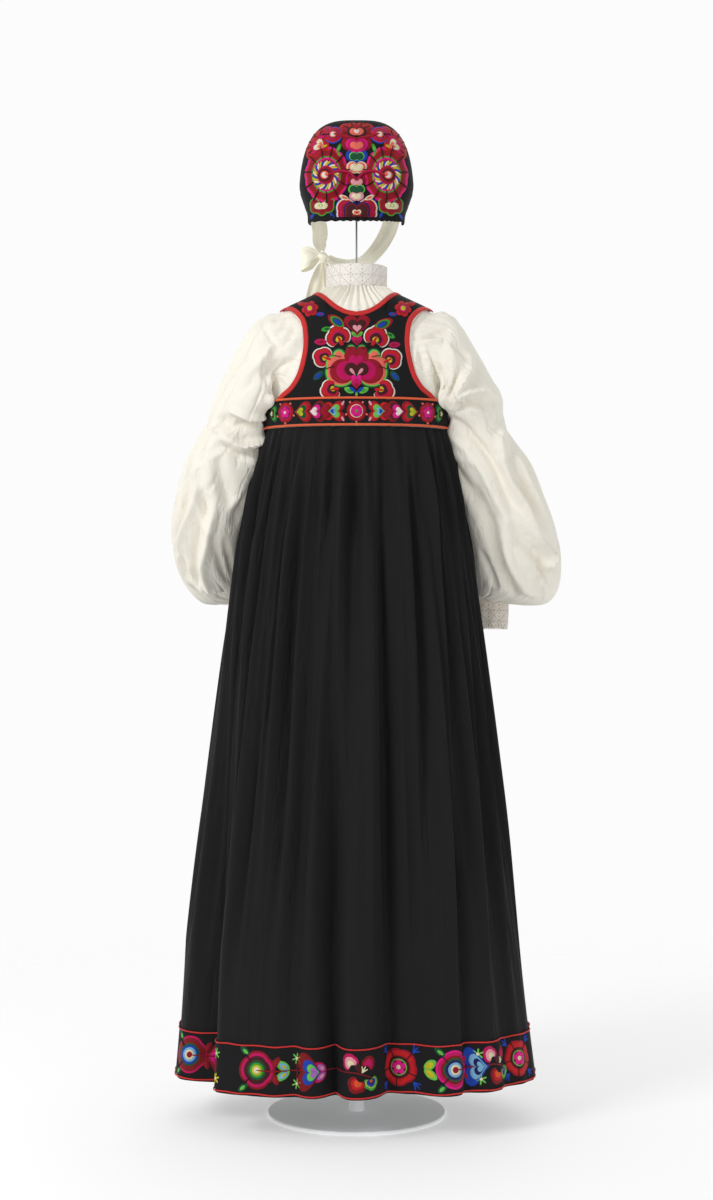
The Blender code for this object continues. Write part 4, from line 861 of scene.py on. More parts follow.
def sleeve_grid(table, side, creases):
    """The sleeve's outer face from under the bodice to the cuff, with its gathers and creases."""
    turns = np.arange(SLEEVE_COLUMNS) * 2 * pi / SLEEVE_COLUMNS
    rings = [torso_point(90.0 + half_angle * np.sin(turns), middle + half_height * np.cos(turns),
                         SLEEVE_OUT + puff * np.abs(np.sin(turns)))
             for half_angle, middle, half_height, puff in
             ((UNDER_BODICE_ANGLE, UNDER_BODICE_MIDDLE, UNDER_BODICE_HALF_HEIGHT, 0.0),
              (ARMHOLE_HALF_ANGLE, ARMHOLE_MIDDLE, ARMHOLE_HALF_HEIGHT, 0.011))]
    for ring in table:
        middle_x, middle_z = (ring.outer_x + ring.inner_x) / 2, (ring.outer_z + ring.inner_z) / 2
        reach_x, reach_z = (ring.outer_x - ring.inner_x) / 2, (ring.outer_z - ring.inner_z) / 2
        lean = ring.back_lean * np.maximum(0.0, -np.sin(turns)) ** 2
        rings.append(np.stack([middle_x + reach_x * np.cos(turns) - lean,
                               ring.middle_y + ring.half_depth * np.sin(turns),
                               middle_z + reach_z * np.cos(turns)], axis=1))
    grid = smooth_rows(rings, SLEEVE_STEPS)
    rows = len(grid)
    last = len(rings) - 2
    down = np.broadcast_to((np.arange(rows) / SLEEVE_STEPS - 1.0)[:, None], (rows, SLEEVE_COLUMNS))
    across = np.broadcast_to(np.degrees(turns)[None], (rows, SLEEVE_COLUMNS))
    span = (down >= SPAN_FROM) & (down <= SPAN_TO)
    share = ((down - SPAN_FROM) / (SPAN_TO - SPAN_FROM))[..., None]
    first, final = np.argmax(span[:, 0]), rows - 1 - np.argmax(span[::-1, 0])
    held = span * SPAN_TIGHTNESS * np.exp(-((across - SPAN_MIDDLE) / SPAN_REACH) ** 2)
    grid = grid + ((1.0 - share) * grid[first] + share * grid[final] - grid) * held[..., None]
    moved = np.zeros((rows, SLEEVE_COLUMNS))
    for crease in [*creases, *small_creases(last, side)]:
        moved += crease_moves(crease, across, down)
    moved *= 1.25 * (0.30 + 0.70 * ease_in((down + 0.9) / 0.9))
    head = np.exp(-((down - 0.15) / 0.95) ** 2)
    head *= 0.45 + 0.55 * ease_in((np.cos(turns)[None] + 0.35) / 1.1)
    wrist = np.exp(-((last - 0.35 - down) / 1.0) ** 2) * ease_in((last - down) / 0.3)
    for strength, waves in ((head * 0.0013, 30), (wrist * 0.0064, 24)):
        phase = np.radians(across) * waves + 1.4 * np.sin(np.radians(across) * 5.0) + down * 0.4
        phase += 0.9 * np.sin(np.radians(across) * 11.0 + down * 1.3)
        moved += strength * (np.abs(np.cos(phase / 2)) ** 0.7 - 0.6) * 1.6
    for fold in INNER_FOLDS:
        near = np.exp(-((down - fold.ring) / fold.rings) ** 2 - ((across - fold.degree) / fold.degrees) ** 2)
        grid = grid + near[..., None] * fold.move
    middles = np.broadcast_to(grid.mean(axis=1, keepdims=True), grid.shape)
    moved = np.clip(moved, MOST_IN, MOST_OUT) * ease_in((last - down) / 0.12)
    grid = grid + grid_normals(grid, True, middles) * moved[..., None]
    return grid * [side, 1.0, 1.0]


def small_creases(last, side):
    """Short soft creases scattered along a sleeve, most of them near the elbow and under the shoulder."""
    chance = np.random.default_rng(7 + side)
    found = []
    for _ in range(SMALL_CREASES):
        ring = chance.choice([chance.normal(1.6, 1.2), chance.normal(6.0, 1.6), chance.normal(11.0, 1.8)])
        ring = float(np.clip(ring, 0.3, last - 1.5))
        degree = chance.uniform(0.0, 360.0)
        slant = chance.normal(0.0, 24.0)
        reach = chance.uniform(0.6, 1.8)
        path = [(ring, degree), (ring + reach / 2, degree + slant / 2 + chance.normal(0.0, 4.0)),
                (ring + reach, degree + slant)]
        width = chance.uniform(0.0035, 0.0080)
        depth = chance.uniform(0.0010, 0.0030) * chance.choice([-1.0, -1.0, 1.0])
        found.append(Crease(path, width, depth, False))
    return found


def trough(width, depth, *path):
    """Width and depth in millimetres, as in the two below."""
    return Crease(path, width / 1000.0, -depth / 1000.0, False)


def ridge(width, depth, *path):
    return Crease(path, width / 1000.0, depth / 1000.0, False)


def roll(width, depth, *path):
    return Crease(path, width / 1000.0, depth / 1000.0, True)


# Places are (ring, degrees): 0 is the outer edge, 90 the wearer's front, 180 inside and 270 the back.
RIGHT_CREASES = [
    # the gathered star beside the armhole and the folds that hang from it
    trough(5, 6, (-0.4, 278), (-0.7, 288), (-0.9, 298)),
    trough(5, 6, (-0.3, 280), (0.2, 286), (0.6, 292), (1.6, 308)),
    ridge(5, 5, (-0.3, 276), (0.4, 282), (1.1, 286)),
    trough(5, 6, (-0.5, 276), (-0.7, 274), (-0.9, 272)),
    trough(5, 6, (-0.3, 274), (-0.3, 258), (-0.5, 240), (-0.9, 226)),
    trough(5, 6, (-0.5, 272), (-0.7, 258), (-1.0, 242), (-1.0, 232)),
    ridge(5, 5, (-0.4, 270), (-0.6, 256), (-0.8, 238)),
    ridge(6, 4, (-0.1, 276), (0.0, 246), (-0.7, 220), (-1.0, 210)),
    trough(7, 6, (0.2, 260), (0.2, 234), (-0.4, 212), (-1.0, 202)),
    trough(6, 5, (-0.7, 294), (-0.7, 306), (-0.6, 326)),
    # the upper arm
    trough(8, 6, (0.8, 248), (1.8, 240), (3.2, 232)),
    ridge(8, 8, (3.1, 322), (3.7, 302), (4.0, 268), (4.2, 236)),
    trough(8, 8, (3.2, 292), (3.5, 264), (3.6, 238)),
    trough(7, 6, (1.9, 290), (2.9, 308), (3.5, 314)),
    trough(8, 6, (3.6, 330), (4.1, 308), (4.4, 286)),
    # the overhang at the elbow
    roll(10, 12, (5.1, 340), (4.9, 310), (4.7, 290), (4.5, 262), (4.6, 225)),
    trough(9, 10, (4.7, 238), (4.9, 276), (5.2, 298), (5.5, 318)),
    trough(3, 1.5, (5.0, 250), (5.7, 284), (6.0, 330)),
    # long folds down the forearm
    trough(10, 10, (4.6, 208), (6.1, 248), (7.6, 268), (8.5, 276), (9.5, 282)),
    ridge(9, 7, (5.4, 204), (7.1, 236), (8.3, 252), (9.4, 266), (10.4, 268)),
    trough(10, 9, (5.9, 190), (7.4, 208), (8.7, 232), (9.8, 248), (10.7, 252)),
    ridge(9, 9, (5.7, 352), (6.9, 302), (7.9, 282), (8.5, 284), (9.2, 298), (10.1, 304), (11.0, 318)),
    trough(8, 8, (6.9, 338), (7.8, 300), (8.4, 300), (9.1, 312), (9.9, 314)),
    trough(6, 6, (6.7, 332), (7.8, 324), (8.7, 334), (9.3, 338)),
    ridge(6, 5, (7.3, 316), (8.3, 316), (9.1, 324), (9.7, 328)),
    trough(7, 8, (10.5, 300), (11.0, 306), (11.5, 300), (11.9, 292)),
    roll(8, 8, (10.7, 328), (11.2, 322), (11.5, 304)),
    trough(8, 7, (10.4, 220), (11.1, 228), (12.3, 238)),
    trough(7, 6, (11.2, 252), (12.1, 260), (12.9, 272)),
    # folds that sweep down and outward and turn up again over the wrist
    ridge(5, 8, (9.6, 282), (10.0, 294), (10.4, 306), (10.8, 320), (11.1, 322), (11.5, 310)),
    trough(8, 10, (9.7, 268), (10.3, 278), (10.7, 292), (11.2, 302), (11.7, 308)),
    ridge(10, 10, (9.5, 256), (10.3, 254), (11.2, 262), (12.2, 280), (12.7, 304)),
    trough(9, 11, (9.3, 238), (10.3, 242), (11.2, 248), (12.5, 260)),
    trough(5, 7, (10.9, 302), (11.4, 308), (11.9, 316)),
    trough(6, 7, (9.6, 350), (10.2, 354), (10.8, 336)),
    trough(8, 8, (8.2, 306), (9.1, 310), (10.0, 316)),
    # the wearer's front
    trough(12, 10, (1.0, 60), (2.5, 70), (4.2, 86)),
    trough(11, 10, (2.0, 128), (3.6, 120), (5.4, 110)),
    ridge(10, 6, (1.2, 100), (3.0, 98), (4.6, 96)),
    roll(12, 10, (5.5, 150), (5.3, 110), (5.5, 75), (5.2, 40)),
    trough(14, 12, (7.0, 40), (9.6, 56), (13.0, 74)),
    trough(13, 11, (6.6, 122), (9.0, 112), (12.6, 104)),
    ridge(10, 7, (6.8, 84), (9.4, 86), (12.4, 90)),
]
LEFT_CREASES = [
    # folds from the shoulder and out of the armhole
    trough(6, 6, (-1.0, 300), (-0.5, 296), (0.2, 272)),
    ridge(5, 5, (-1.0, 292), (-0.5, 286), (0.1, 264)),
    trough(6, 6, (-1.0, 286), (-0.6, 274), (-0.3, 248), (-0.8, 230)),
    ridge(6, 5, (-1.0, 274), (-0.6, 256), (-0.9, 236), (-1.0, 220)),
    trough(8, 7, (-0.8, 262), (0.3, 240), (1.8, 228), (4.0, 244)),
    trough(5, 4, (-1.0, 310), (-0.3, 308), (0.7, 288)),
    ridge(9, 6, (0.4, 280), (2.4, 272), (4.2, 302)),
    trough(10, 7, (0.9, 304), (3.0, 312), (4.3, 326), (5.4, 334)),
    trough(8, 6, (0.2, 250), (1.6, 250), (3.0, 262)),
    # two overhangs at the elbow with a hollow between and under them
    roll(10, 11, (5.5, 302), (5.6, 280), (5.6, 250), (5.3, 225), (4.8, 205)),
    trough(9, 9, (5.8, 314), (6.1, 276), (5.9, 250), (5.4, 215)),
    ridge(8, 6, (6.2, 330), (6.7, 274), (7.0, 240), (6.5, 210), (5.9, 195)),
    roll(10, 12, (7.0, 292), (7.1, 268), (7.2, 244), (6.9, 222), (6.0, 195)),
    trough(14, 14, (7.7, 280), (8.3, 264), (8.7, 248), (9.0, 234)),
    trough(9, 8, (7.8, 208), (8.5, 212), (9.3, 224), (9.7, 226)),
    ridge(8, 6, (7.3, 230), (7.9, 202), (8.8, 210)),
    # the forearm
    trough(6, 7, (8.3, 304), (9.1, 288), (9.9, 270)),
    ridge(7, 6, (8.0, 320), (8.6, 302), (9.5, 284), (10.4, 274)),
    trough(6, 6, (6.3, 332), (7.2, 338), (8.0, 338), (9.0, 324)),
    trough(5, 4, (6.5, 320), (7.5, 308), (8.0, 302)),
    ridge(5, 5, (6.4, 332), (7.6, 330), (8.6, 326), (9.7, 320)),
    trough(10, 8, (10.1, 262), (10.9, 246), (11.9, 234)),
    trough(7, 7, (10.6, 324), (11.5, 318), (12.0, 312)),
    roll(9, 9, (12.0, 316), (12.4, 304), (12.6, 280), (12.6, 256)),
    trough(8, 6, (10.2, 240), (10.8, 224), (11.4, 216)),
    # broad soft folds that sweep down and outward to the wrist
    ridge(7, 8, (8.6, 292), (9.6, 300), (10.6, 318), (11.4, 326), (12.2, 314)),
    trough(9, 9, (8.6, 312), (9.8, 316), (10.8, 334), (11.6, 344)),
    trough(12, 12, (9.0, 278), (10.2, 284), (11.2, 296), (12.2, 298)),
    ridge(10, 9, (9.2, 262), (10.4, 268), (11.6, 282), (12.6, 284)),
    # the wearer's front
    trough(12, 10, (1.0, 54), (2.4, 66), (4.2, 82)),
    trough(11, 10, (2.0, 132), (3.6, 120), (5.4, 108)),
    ridge(10, 6, (1.2, 100), (3.0, 98), (4.6, 96)),
    roll(12, 10, (5.5, 150), (5.3, 110), (5.5, 75), (5.2, 40)),
    trough(14, 12, (7.0, 36), (9.6, 54), (13.0, 72)),
    trough(13, 11, (6.6, 118), (9.0, 110), (12.6, 100)),
    ridge(10, 7, (6.8, 80), (9.4, 84), (12.4, 88)),
]


def make_sleeve(name, table, side, creases, material):
    grid = sleeve_grid(table, side, creases)
    middles = np.broadcast_to(grid.mean(axis=1, keepdims=True), grid.shape)
    return cloth_shell(name, grid, SLEEVE_WALL, True, material, middles)


def bead_at(share, middle, width, rise):
    """A raised cord across a cuff or collar, at a share of its height."""
    return rise * np.exp(-((share - middle) / width) ** 2)


def make_cuff(name, ring, side, material):
    """A close cuff of whitework whose lower edge is a row of small points."""
    turns = np.arange(176) * 2 * pi / 176
    top = ring.outer_z - 0.0006
    low = top - CUFF_HEIGHT
    heights = np.linspace(top, low + 0.004, 22)
    points_edge = 0.004 * np.abs(np.sin(turns * CUFF_POINTS)) ** 0.7
    rows = []
    for k, height in enumerate(heights):
        share = k / (len(heights) - 1)
        bead = bead_at(share, 0.10, 0.035, 0.0007) + bead_at(share, 0.86, 0.035, 0.0007)
        radius = ring.half_depth - 0.001 + bead - 0.0026 * share ** 3
        radius = radius + 0.0006 * np.sin(turns * 9.0 + share * 2.0)
        drop = points_edge * ease_in((share - 0.80) / 0.20)
        rows.append(np.stack([side * (ring.outer_x + ring.inner_x) / 2 + radius * np.cos(turns),
                              ring.middle_y + radius * np.sin(turns), height - drop], axis=1))
    middle = (side * (ring.outer_x + ring.inner_x) / 2, ring.middle_y, (top + low) / 2)
    return cloth_shell(name, rows, 0.0014, True, material, middle)


def make_collar(material):
    """The stand collar in whitework, with a corded edge above and below and a slit at the front."""
    reach = 180.0 - COLLAR_SLIT_ANGLE
    angles = np.radians(np.linspace(-reach, reach, 181))
    rows = []
    for share in np.linspace(0.0, 1.0, 28):
        bead = bead_at(share, 0.03, 0.03, 0.0006) + bead_at(share, 0.95, 0.03, 0.0008)
        rise = 0.0012 * np.cos(angles) * (1.0 - share)
        swell = bead - 0.0004 + 0.0012 * sin(pi * share) * np.cos(angles) ** 2
        height = COLLAR_TOP - 0.0012 + (COLLAR_BOTTOM - COLLAR_TOP + 0.0012) * share + rise
        rows.append(np.stack([(COLLAR_RADIUS + swell) * np.sin(angles),
                              -(COLLAR_DEPTH + swell) * np.cos(angles) + COLLAR_FORWARD, height], axis=1))
    return cloth_shell("collar_whitework", rows, 0.0018, False, material, (0.0, 0.0, 1.40))


# ---------------------------------------------------------------- bodice
def panel_half(neck, armhole, rows, neck_columns, shoulder_columns):
    """A half panel as rows of (across, height): middle line to armhole, neck edge to waist."""
    shares = np.linspace(0.0, 1.0, rows)
    columns = neck_columns + shoulder_columns
    neck_line = smooth_rows(neck, 12)
    measured = on_torso(neck_line[:, 0], neck_line[:, 1], 0.0)
    shoulder = np.array([neck[-1], armhole[-1]])
    top_line = np.vstack([spread_along(neck_line, np.linspace(0, 1, neck_columns), measured),
                          spread_along(shoulder, np.linspace(0, 1, shoulder_columns + 1))[1:]])
    u = np.linspace(0.0, 1.0, columns)
    outer_line = spread_along(smooth_rows(armhole[::-1], 12), shares)
    heights = neck[0].height + (BODICE_BOTTOM - neck[0].height) * shares
    middle_line = np.stack([np.zeros(rows), heights], axis=1)
    bottom_line = np.stack([armhole[0].across * u, np.full(columns, BODICE_BOTTOM)], axis=1)
    u = u[None, :, None]
    v = shares[:, None, None]
    return ((1 - v) * top_line[None] + v * bottom_line[None]
            + (1 - u) * middle_line[:, None] + u * outer_line[:, None]
            - (1 - u) * (1 - v) * top_line[0] - u * (1 - v) * top_line[-1]
            - (1 - u) * v * bottom_line[0] - u * v * bottom_line[-1])


def make_panel(name, flat, sides, front, material):
    """A panel of the bodice; sides is which halves it has."""
    halves = []
    for side in sides:
        half = on_torso(np.maximum(flat[..., 0], 1e-6) * side, flat[..., 1], BODICE_OUT, front)
        halves.append(half[:, :0:-1] if side < 0 and len(sides) > 1 else half)
    grid = np.concatenate(halves, axis=1)
    return cloth_shell(name, grid, BODICE_WALL, False, material, (0.0, 0.0, 1.2))


def make_binding(name, edge, sides, front, material):
    """Woollen tape folded over an edge of a panel, a true width in from it wherever the cloth slopes."""
    line = smooth_rows(edge, 10)
    across = np.maximum(line[:, 0], 1e-6)
    halves = []
    for side in sides:
        half = np.stack([on_torso(across * side, line[:, 1], out, front)
                         for out in (BODICE_OUT, BODICE_OUT + 0.001)], axis=1)
        halves.append(half[:0:-1] if side < 0 and len(sides) > 1 else half)
    low, high = np.moveaxis(np.concatenate(halves), 1, 0)
    low, high = (spread_along(points, np.linspace(0, 1, len(low) + 20), low) for points in (low, high))
    outward = unit(high - low)
    inward = unit(np.cross(np.gradient(low, axis=0), outward))
    centre = on_torso(0.07, 1.23, 0.0, front) * [np.sign(np.mean(low[:, 0]) * (len(sides) < 2)), 1.0, 1.0]
    inward *= np.sign(((centre - low) * inward).sum())
    profile = [(BINDING_WIDTH, 0.0001), (BINDING_WIDTH - 0.0004, BINDING_LIFT - 0.0001),
               (BINDING_WIDTH * 0.66, BINDING_LIFT + 0.0003), (BINDING_WIDTH * 0.33, BINDING_LIFT + 0.0003),
               (0.0004, BINDING_LIFT), (-0.0006, -0.0002), (-0.0006, -0.0014), (0.0006, -0.0019),
               (0.0030, -0.0019), (0.0030, -0.0003)]
    rings = [low + inward * inset + outward * out for inset, out in profile]
    return tube(name, np.stack(rings, axis=1), False, material)


# ---------------------------------------------------------------- waist band and skirt
def make_band(material):
    angles = np.arange(360) * 1.0
    rows = [waist_surface(angles, np.full(360, z)) for z in np.linspace(BAND_TOP, BAND_BOTTOM, 9)]
    return cloth_shell("waist_band", rows, BAND_WALL, True, material, (0.0, 0.0, 1.17))


def make_piping(name, low, material):
    """A round covered cord round the waist."""
    angles = np.arange(240) * 1.5
    middle = waist_surface(angles, np.full(240, low + PIPING_SIZE / 2))
    outward = unit(middle * [1.0, 1.0, 0.0])
    rings = []
    for turn in np.arange(10) * 2 * pi / 10:
        offset = outward * (0.0018 * cos(turn) - 0.0004) + np.array([0.0, 0.0, 0.0019 * sin(turn)])
        rings.append(middle + offset)
    return tube(name, np.stack(rings, axis=1), True, material)


def make_skirt(material):
    heights = np.concatenate([np.linspace(SKIRT_TOP, 1.00, 26), np.linspace(0.99, SKIRT_HEM, 34)])
    angles = np.arange(SKIRT_COLUMNS) * 360.0 / SKIRT_COLUMNS
    rows = [skirt_surface(angles, np.full(SKIRT_COLUMNS, height)) for height in heights]
    return cloth_shell("skirt_cloth", rows, SKIRT_WALL, True, material, (0.0, 0.0, 0.6))


def border_surface(angle, height):
    """The outer face of the strip round the hem."""
    return lifted(skirt_surface, angle, height, BORDER_OUT + 0.0006, 0.3, 0.004)


def make_hem_border(material):
    angles = np.arange(720) * 0.5
    rows = [border_surface(angles, np.full(720, z)) for z in np.linspace(BORDER_TOP, BORDER_BOTTOM, 6)]
    return cloth_shell("hem_border_cloth", rows, 0.0010, True, material, (0.0, 0.0, 0.1))


def make_hem_cord(name, height, material):
    """A couched woollen cord round the skirt."""
    angles = np.arange(900) * 0.4
    level = np.full(900, height) + 0.0006 * np.sin(np.radians(angles) * 31.0)
    rings = []
    for turn in np.arange(6) * 2 * pi / 6:
        out = 0.0021 + 0.0011 * cos(turn)
        rings.append(lifted(skirt_surface, angles, level + 0.0012 * sin(turn), out + 0.0004, 0.3, 0.004))
    return tube(name, np.stack(rings, axis=1), True, material)


# ---------------------------------------------------------------- cap and ribbons
def cap_height(rise, y):
    """Heights at shares of the rise from the lower edge, which climbs towards the face, to the top."""
    edge = CAP_EDGE_RISE * (y + CAP_DEPTH) / (CAP_DEPTH + CAP_FRONT)
    return CAP_BOTTOM + edge + (CAP_HEIGHT - edge) * rise


def cap_taper(up):
    """How much of its width the cap has at a distance up from its lower edge."""
    return 1.0 - CAP_TAPER * (1.0 - ease_in(up / CAP_TAPER_HEIGHT))


def cap_surface(turn, share):
    """The cap's outer face: turn 0 to 180 degrees over the crown; share 0 to 1 over the back to the rim,
    then 1 to 2 forward to the face edge."""
    n = CAP_SQUARENESS
    turns = np.radians(turn)
    power = 2 / n
    back = np.clip(share, 0.012, 1.0)
    rise = back * np.abs(np.sin(turns)) ** power
    taper = cap_taper(CAP_HEIGHT * rise)
    forward = np.clip(share - 1.0, 0.0, 1.0) * CAP_FRONT
    y = forward - CAP_DEPTH * (1.0 - back ** n) ** (1 / n)
    narrower = 1.0 - CAP_FACE_TAPER * forward / CAP_FRONT
    x = CAP_HALF_WIDTH * back * signed_power(np.cos(turns), power) * taper * narrower
    return np.stack(np.broadcast_arrays(x, y, cap_height(rise, y)), axis=-1)


def make_cap(material):
    """The cap's cloth, drawn up along its lower edge so that the edge ripples."""
    turn = np.linspace(0.0, 180.0, 241)[None]
    share = np.concatenate([np.sin(np.linspace(0.0, pi / 2, 44)), np.linspace(1.05, 2.0, 16)])[:, None]
    grid = cap_surface(*np.broadcast_arrays(turn, share))
    near_edge = np.exp(-((grid[..., 2] - cap_height(0.0, grid[..., 1])) / 0.010) ** 2)
    level = grid[..., 0] + grid[..., 1]
    ripple = np.sin(level * 420.0) + 0.5 * np.sin(level * 910.0 + 1.0)
    normals = grid_normals(grid, False, (0.0, 0.0, 1.56))
    grid = grid + normals * (0.0011 * near_edge * ripple)[..., None]
    grid[..., 2] += 0.0009 * near_edge * np.sin(level * 560.0)
    return cloth_shell("cap_cloth", grid, 0.0019, False, material, (0.0, 0.0, 1.56))


def make_ribbon(name, table, material, upright=False):
    """A silk ribbon along its middle line, with soft lengthwise folds."""
    rows = smooth_rows(table, 14)
    line, width, turn = rows[:, :3], rows[:, 3], np.radians(rows[:, 4])
    along = unit(np.gradient(line, axis=0))
    level = [0.0, 0.0, 1.0] - along * along[:, 2:] if upright else np.cross(along, [0.0, 1.0, 0.0])
    level = unit(level)
    facing = np.cross(level, along)
    across = level * np.cos(turn / 3)[:, None] + facing * np.sin(turn / 3)[:, None]
    normal = np.cross(along, across)
    shares = np.linspace(-0.5, 0.5, 25)
    tight = np.clip(0.020 / np.maximum(width, 0.008), 0.4, 2.2)[:, None]
    drift = 0.9 * np.sin(np.linspace(0, 3, len(rows)))[:, None]
    waves = np.sin(shares[None] * 2 * pi * RIBBON_FOLDS / 2 + drift)
    lift = (RIBBON_WAVE * tight * waves)[..., None] * normal[:, None]
    grid = line[:, None] + across[:, None] * (shares[None, :, None] * width[:, None, None]) + lift
    centre = line[:, None] - normal[:, None] * 0.05
    return cloth_shell(name, grid, 0.0007, False, material, np.broadcast_to(centre, grid.shape))


def make_knot(material):
    """The knot: three wraps of ribbon drawn tight round each other."""
    rows = []
    for share in np.linspace(0.06, 0.94, 24):
        polar = pi * share
        around = np.linspace(0.0, 2 * pi, 49)[:-1]
        fold = 1.0 + 0.09 * np.sin(share * 19.0 + 2.0 * np.sin(around))
        fold = fold + 0.05 * np.sin(around * 3.0 + share * 7.0)
        rows.append(np.stack([KNOT_MIDDLE[0] + KNOT_HALF[0] * sin(polar) * np.cos(around) * fold,
                              KNOT_MIDDLE[1] + KNOT_HALF[1] * sin(polar) * np.sin(around) * fold,
                              np.full(48, KNOT_MIDDLE[2] + KNOT_HALF[2] * cos(polar))], axis=1))
    return tube("knot_silk", rows, False, material)


# ---------------------------------------------------------------- stitching
THREADS = {
    "crimson": (158, 10, 38), "red": (200, 22, 30), "dark red": (132, 12, 22), "magenta": (198, 0, 92),
    "hot pink": (232, 18, 140), "salmon": (246, 116, 98), "pink": (240, 160, 170), "maroon": (72, 20, 24),
    "yellow": (208, 196, 30), "green": (60, 164, 48), "dark green": (14, 84, 52), "light green": (108, 200, 78),
    "blue": (22, 66, 178), "light blue": (126, 184, 222), "navy": (26, 22, 96), "cream": (240, 228, 190),
    "white": (240, 236, 224), "purple": (74, 30, 146), "lilac": (176, 104, 190), "orange": (228, 88, 40),
    "black": (15, 14, 16), "lime": (164, 200, 40),
}
THREADS = {name: linear(*color) for name, color in THREADS.items()}
STITCH_RISE = 0.00040
LEVEL_RISE = 0.00022
STITCH_STEP = 0.0026
RING_STEP = 0.0050
EDGE_WIDTH = 0.00045
TUCKED_IN = -0.0002   # a patch's outer edge lies this far in the cloth

# Where a motif lies: the place of its middle in millimetres, its half size in millimetres, how far it is
# turned in degrees, and how wide it is for its height.
Spot = namedtuple("Spot", "x y size turn width", defaults=(0.0, 1.0))


class Stitching:
    """Raised patches of thread, drawn flat in metres and then laid on a cloth's surface."""

    def __init__(self):
        self.points, self.faces, self.uvs, self.colors = [], [], [], []

    def to_cloth(self, spot, outline):
        turn = radians(spot.turn)
        x, y = outline[:, 0] * spot.width, outline[:, 1]
        placed = np.stack([x * cos(turn) - y * sin(turn), x * sin(turn) + y * cos(turn)], axis=1)
        return (placed * spot.size + [spot.x, spot.y]) / 1000.0

    def patch(self, rings, heights, color, closed, middle=None):
        """Rings of flat points, outer first; closed rings may end in one middle point."""
        rows, columns = len(rings), len(rings[0])
        start = len(self.points)
        along = lengths_along(np.vstack([rings[0], rings[0][:1]]))
        reach = np.linalg.norm(np.asarray(rings)[:, 0] - rings[0][0], axis=1)
        for ring, height in zip(rings, heights):
            self.points += [(x, y, height) for x, y in ring]
        for r in range(rows - 1):
            for c in range(columns if closed else columns - 1):
                d = (c + 1) % columns
                a, b = start + r * columns, start + (r + 1) * columns
                self.faces.append((a + c, a + d, b + d, b + c))
                self.uvs += [(along[c], reach[r]), (along[c + 1], reach[r]), (along[c + 1], reach[r + 1]),
                             (along[c], reach[r + 1])]
        if middle is not None:
            self.points.append((*middle, heights[-1]))
            last, hub = start + (rows - 1) * columns, len(self.points) - 1
            for c in range(columns):
                self.faces.append((last + c, last + (c + 1) % columns, hub))
                self.uvs += [(along[c], reach[-1]), (along[c + 1], reach[-1]),
                             ((along[c] + along[c + 1]) / 2, reach[-1] + 0.003)]
        self.colors += [(*THREADS[color], 1.0)] * (len(self.points) - start)

    def fill(self, spot, outline, color, level=0, hub=(0.0, 0.0)):
        """A filled shape whose threads run in from its outline to its hub."""
        outline = self.to_cloth(spot, evenly(outline, spot, STITCH_STEP))
        hub = self.to_cloth(spot, np.array([hub]))[0]
        reach = np.linalg.norm(outline - hub, axis=1).max()
        top = STITCH_RISE + LEVEL_RISE * level
        edge = min(EDGE_WIDTH / reach, 0.4)
        inner = np.linspace(1.0 - edge, 0.0, max(2, ceil(reach / RING_STEP)) + 1)[:-1]
        shares = [1.0, *inner]
        heights = [TUCKED_IN, *(top * (0.86 + 0.14 * (1.0 - inner ** 2)))]
        self.patch([hub + (outline - hub) * share for share in shares], heights, color, True, hub)

    def band(self, spot, one_side, other_side, color, level=0):
        """A strip between two lines of points, its threads across it."""
        one, other = (self.to_cloth(spot, np.asarray(line)) for line in (one_side, other_side))
        top = STITCH_RISE + LEVEL_RISE * level
        shares, heights = (0.0, 0.18, 0.5, 0.82, 1.0), (TUCKED_IN, top * 0.85, top, top * 0.85, TUCKED_IN)
        self.patch([one + (other - one) * share for share in shares], heights, color, False)

    def stem(self, spot, path, half_width, color, level=0):
        """A line of stitching along a path, a little finer at its ends."""
        line = smooth_rows(path, 5)
        along = unit(np.gradient(line, axis=0))
        across = np.stack([-along[:, 1], along[:, 0]], axis=1)
        share = np.linspace(0.0, 1.0, len(line))[:, None]
        across = across * half_width * (0.45 + 0.55 * np.sin(pi * np.clip(share, 0.02, 0.98)) ** 0.5)
        self.band(spot, line + across, line - across, color, level)

    def lay(self, name, surface, material):
        """Makes the object, each point moved out from surface(x, y, height)."""
        piece = cloth_mesh(name, surface(*np.array(self.points).T), self.faces, self.uvs, material)
        colors = piece.data.color_attributes.new("thread", "FLOAT_COLOR", "POINT")
        colors.data.foreach_set("color", np.array(self.colors).reshape(-1))
        return piece


def evenly(outline, spot, step):
    """A closed outline as points about a stitch step apart on the cloth."""
    loop = np.vstack([outline, outline[:1]])
    count = max(14, ceil(lengths_along(loop)[-1] * spot.size / 1000.0 / step))
    return spread_along(loop, np.arange(count) / count)


def turns_of(count):
    return np.arange(count) * 2 * pi / count


def step_toward(degrees):
    """A step of one in a direction: 0 is up and 90 to the right."""
    return np.array([sin(radians(degrees)), cos(radians(degrees))])


def lobed(lobes, notch, phase=0.0):
    """A round outline with scallops; notch is how far the dips go in."""
    turn = turns_of(120)
    reach = 1.0 - notch * (1.0 - np.abs(np.sin((turn - radians(phase)) * lobes / 2)) ** 0.55)
    return np.stack([reach * np.sin(turn), reach * np.cos(turn)], axis=1)


DISC = lobed(1, 0.0)


def heart_outline():
    turn = turns_of(90)
    x = np.sin(turn) ** 3
    y = (13 * np.cos(turn) - 5 * np.cos(2 * turn) - 2 * np.cos(3 * turn) - np.cos(4 * turn)) / 16.0
    return np.stack([x, y + 0.12], axis=1)


def shell_outline(lobes):
    """A scalloped fan round a hub low in its middle."""
    half = 138.0
    turn = np.radians(np.linspace(-half, half, 80))
    reach = 1.0 - 0.16 * (1.0 - np.abs(np.cos(turn * lobes * 180.0 / half / 2)) ** 0.5)
    fan = np.stack([reach * np.sin(turn), reach * np.cos(turn)], axis=1)
    return np.vstack([fan, [[0.0, -0.35]]])


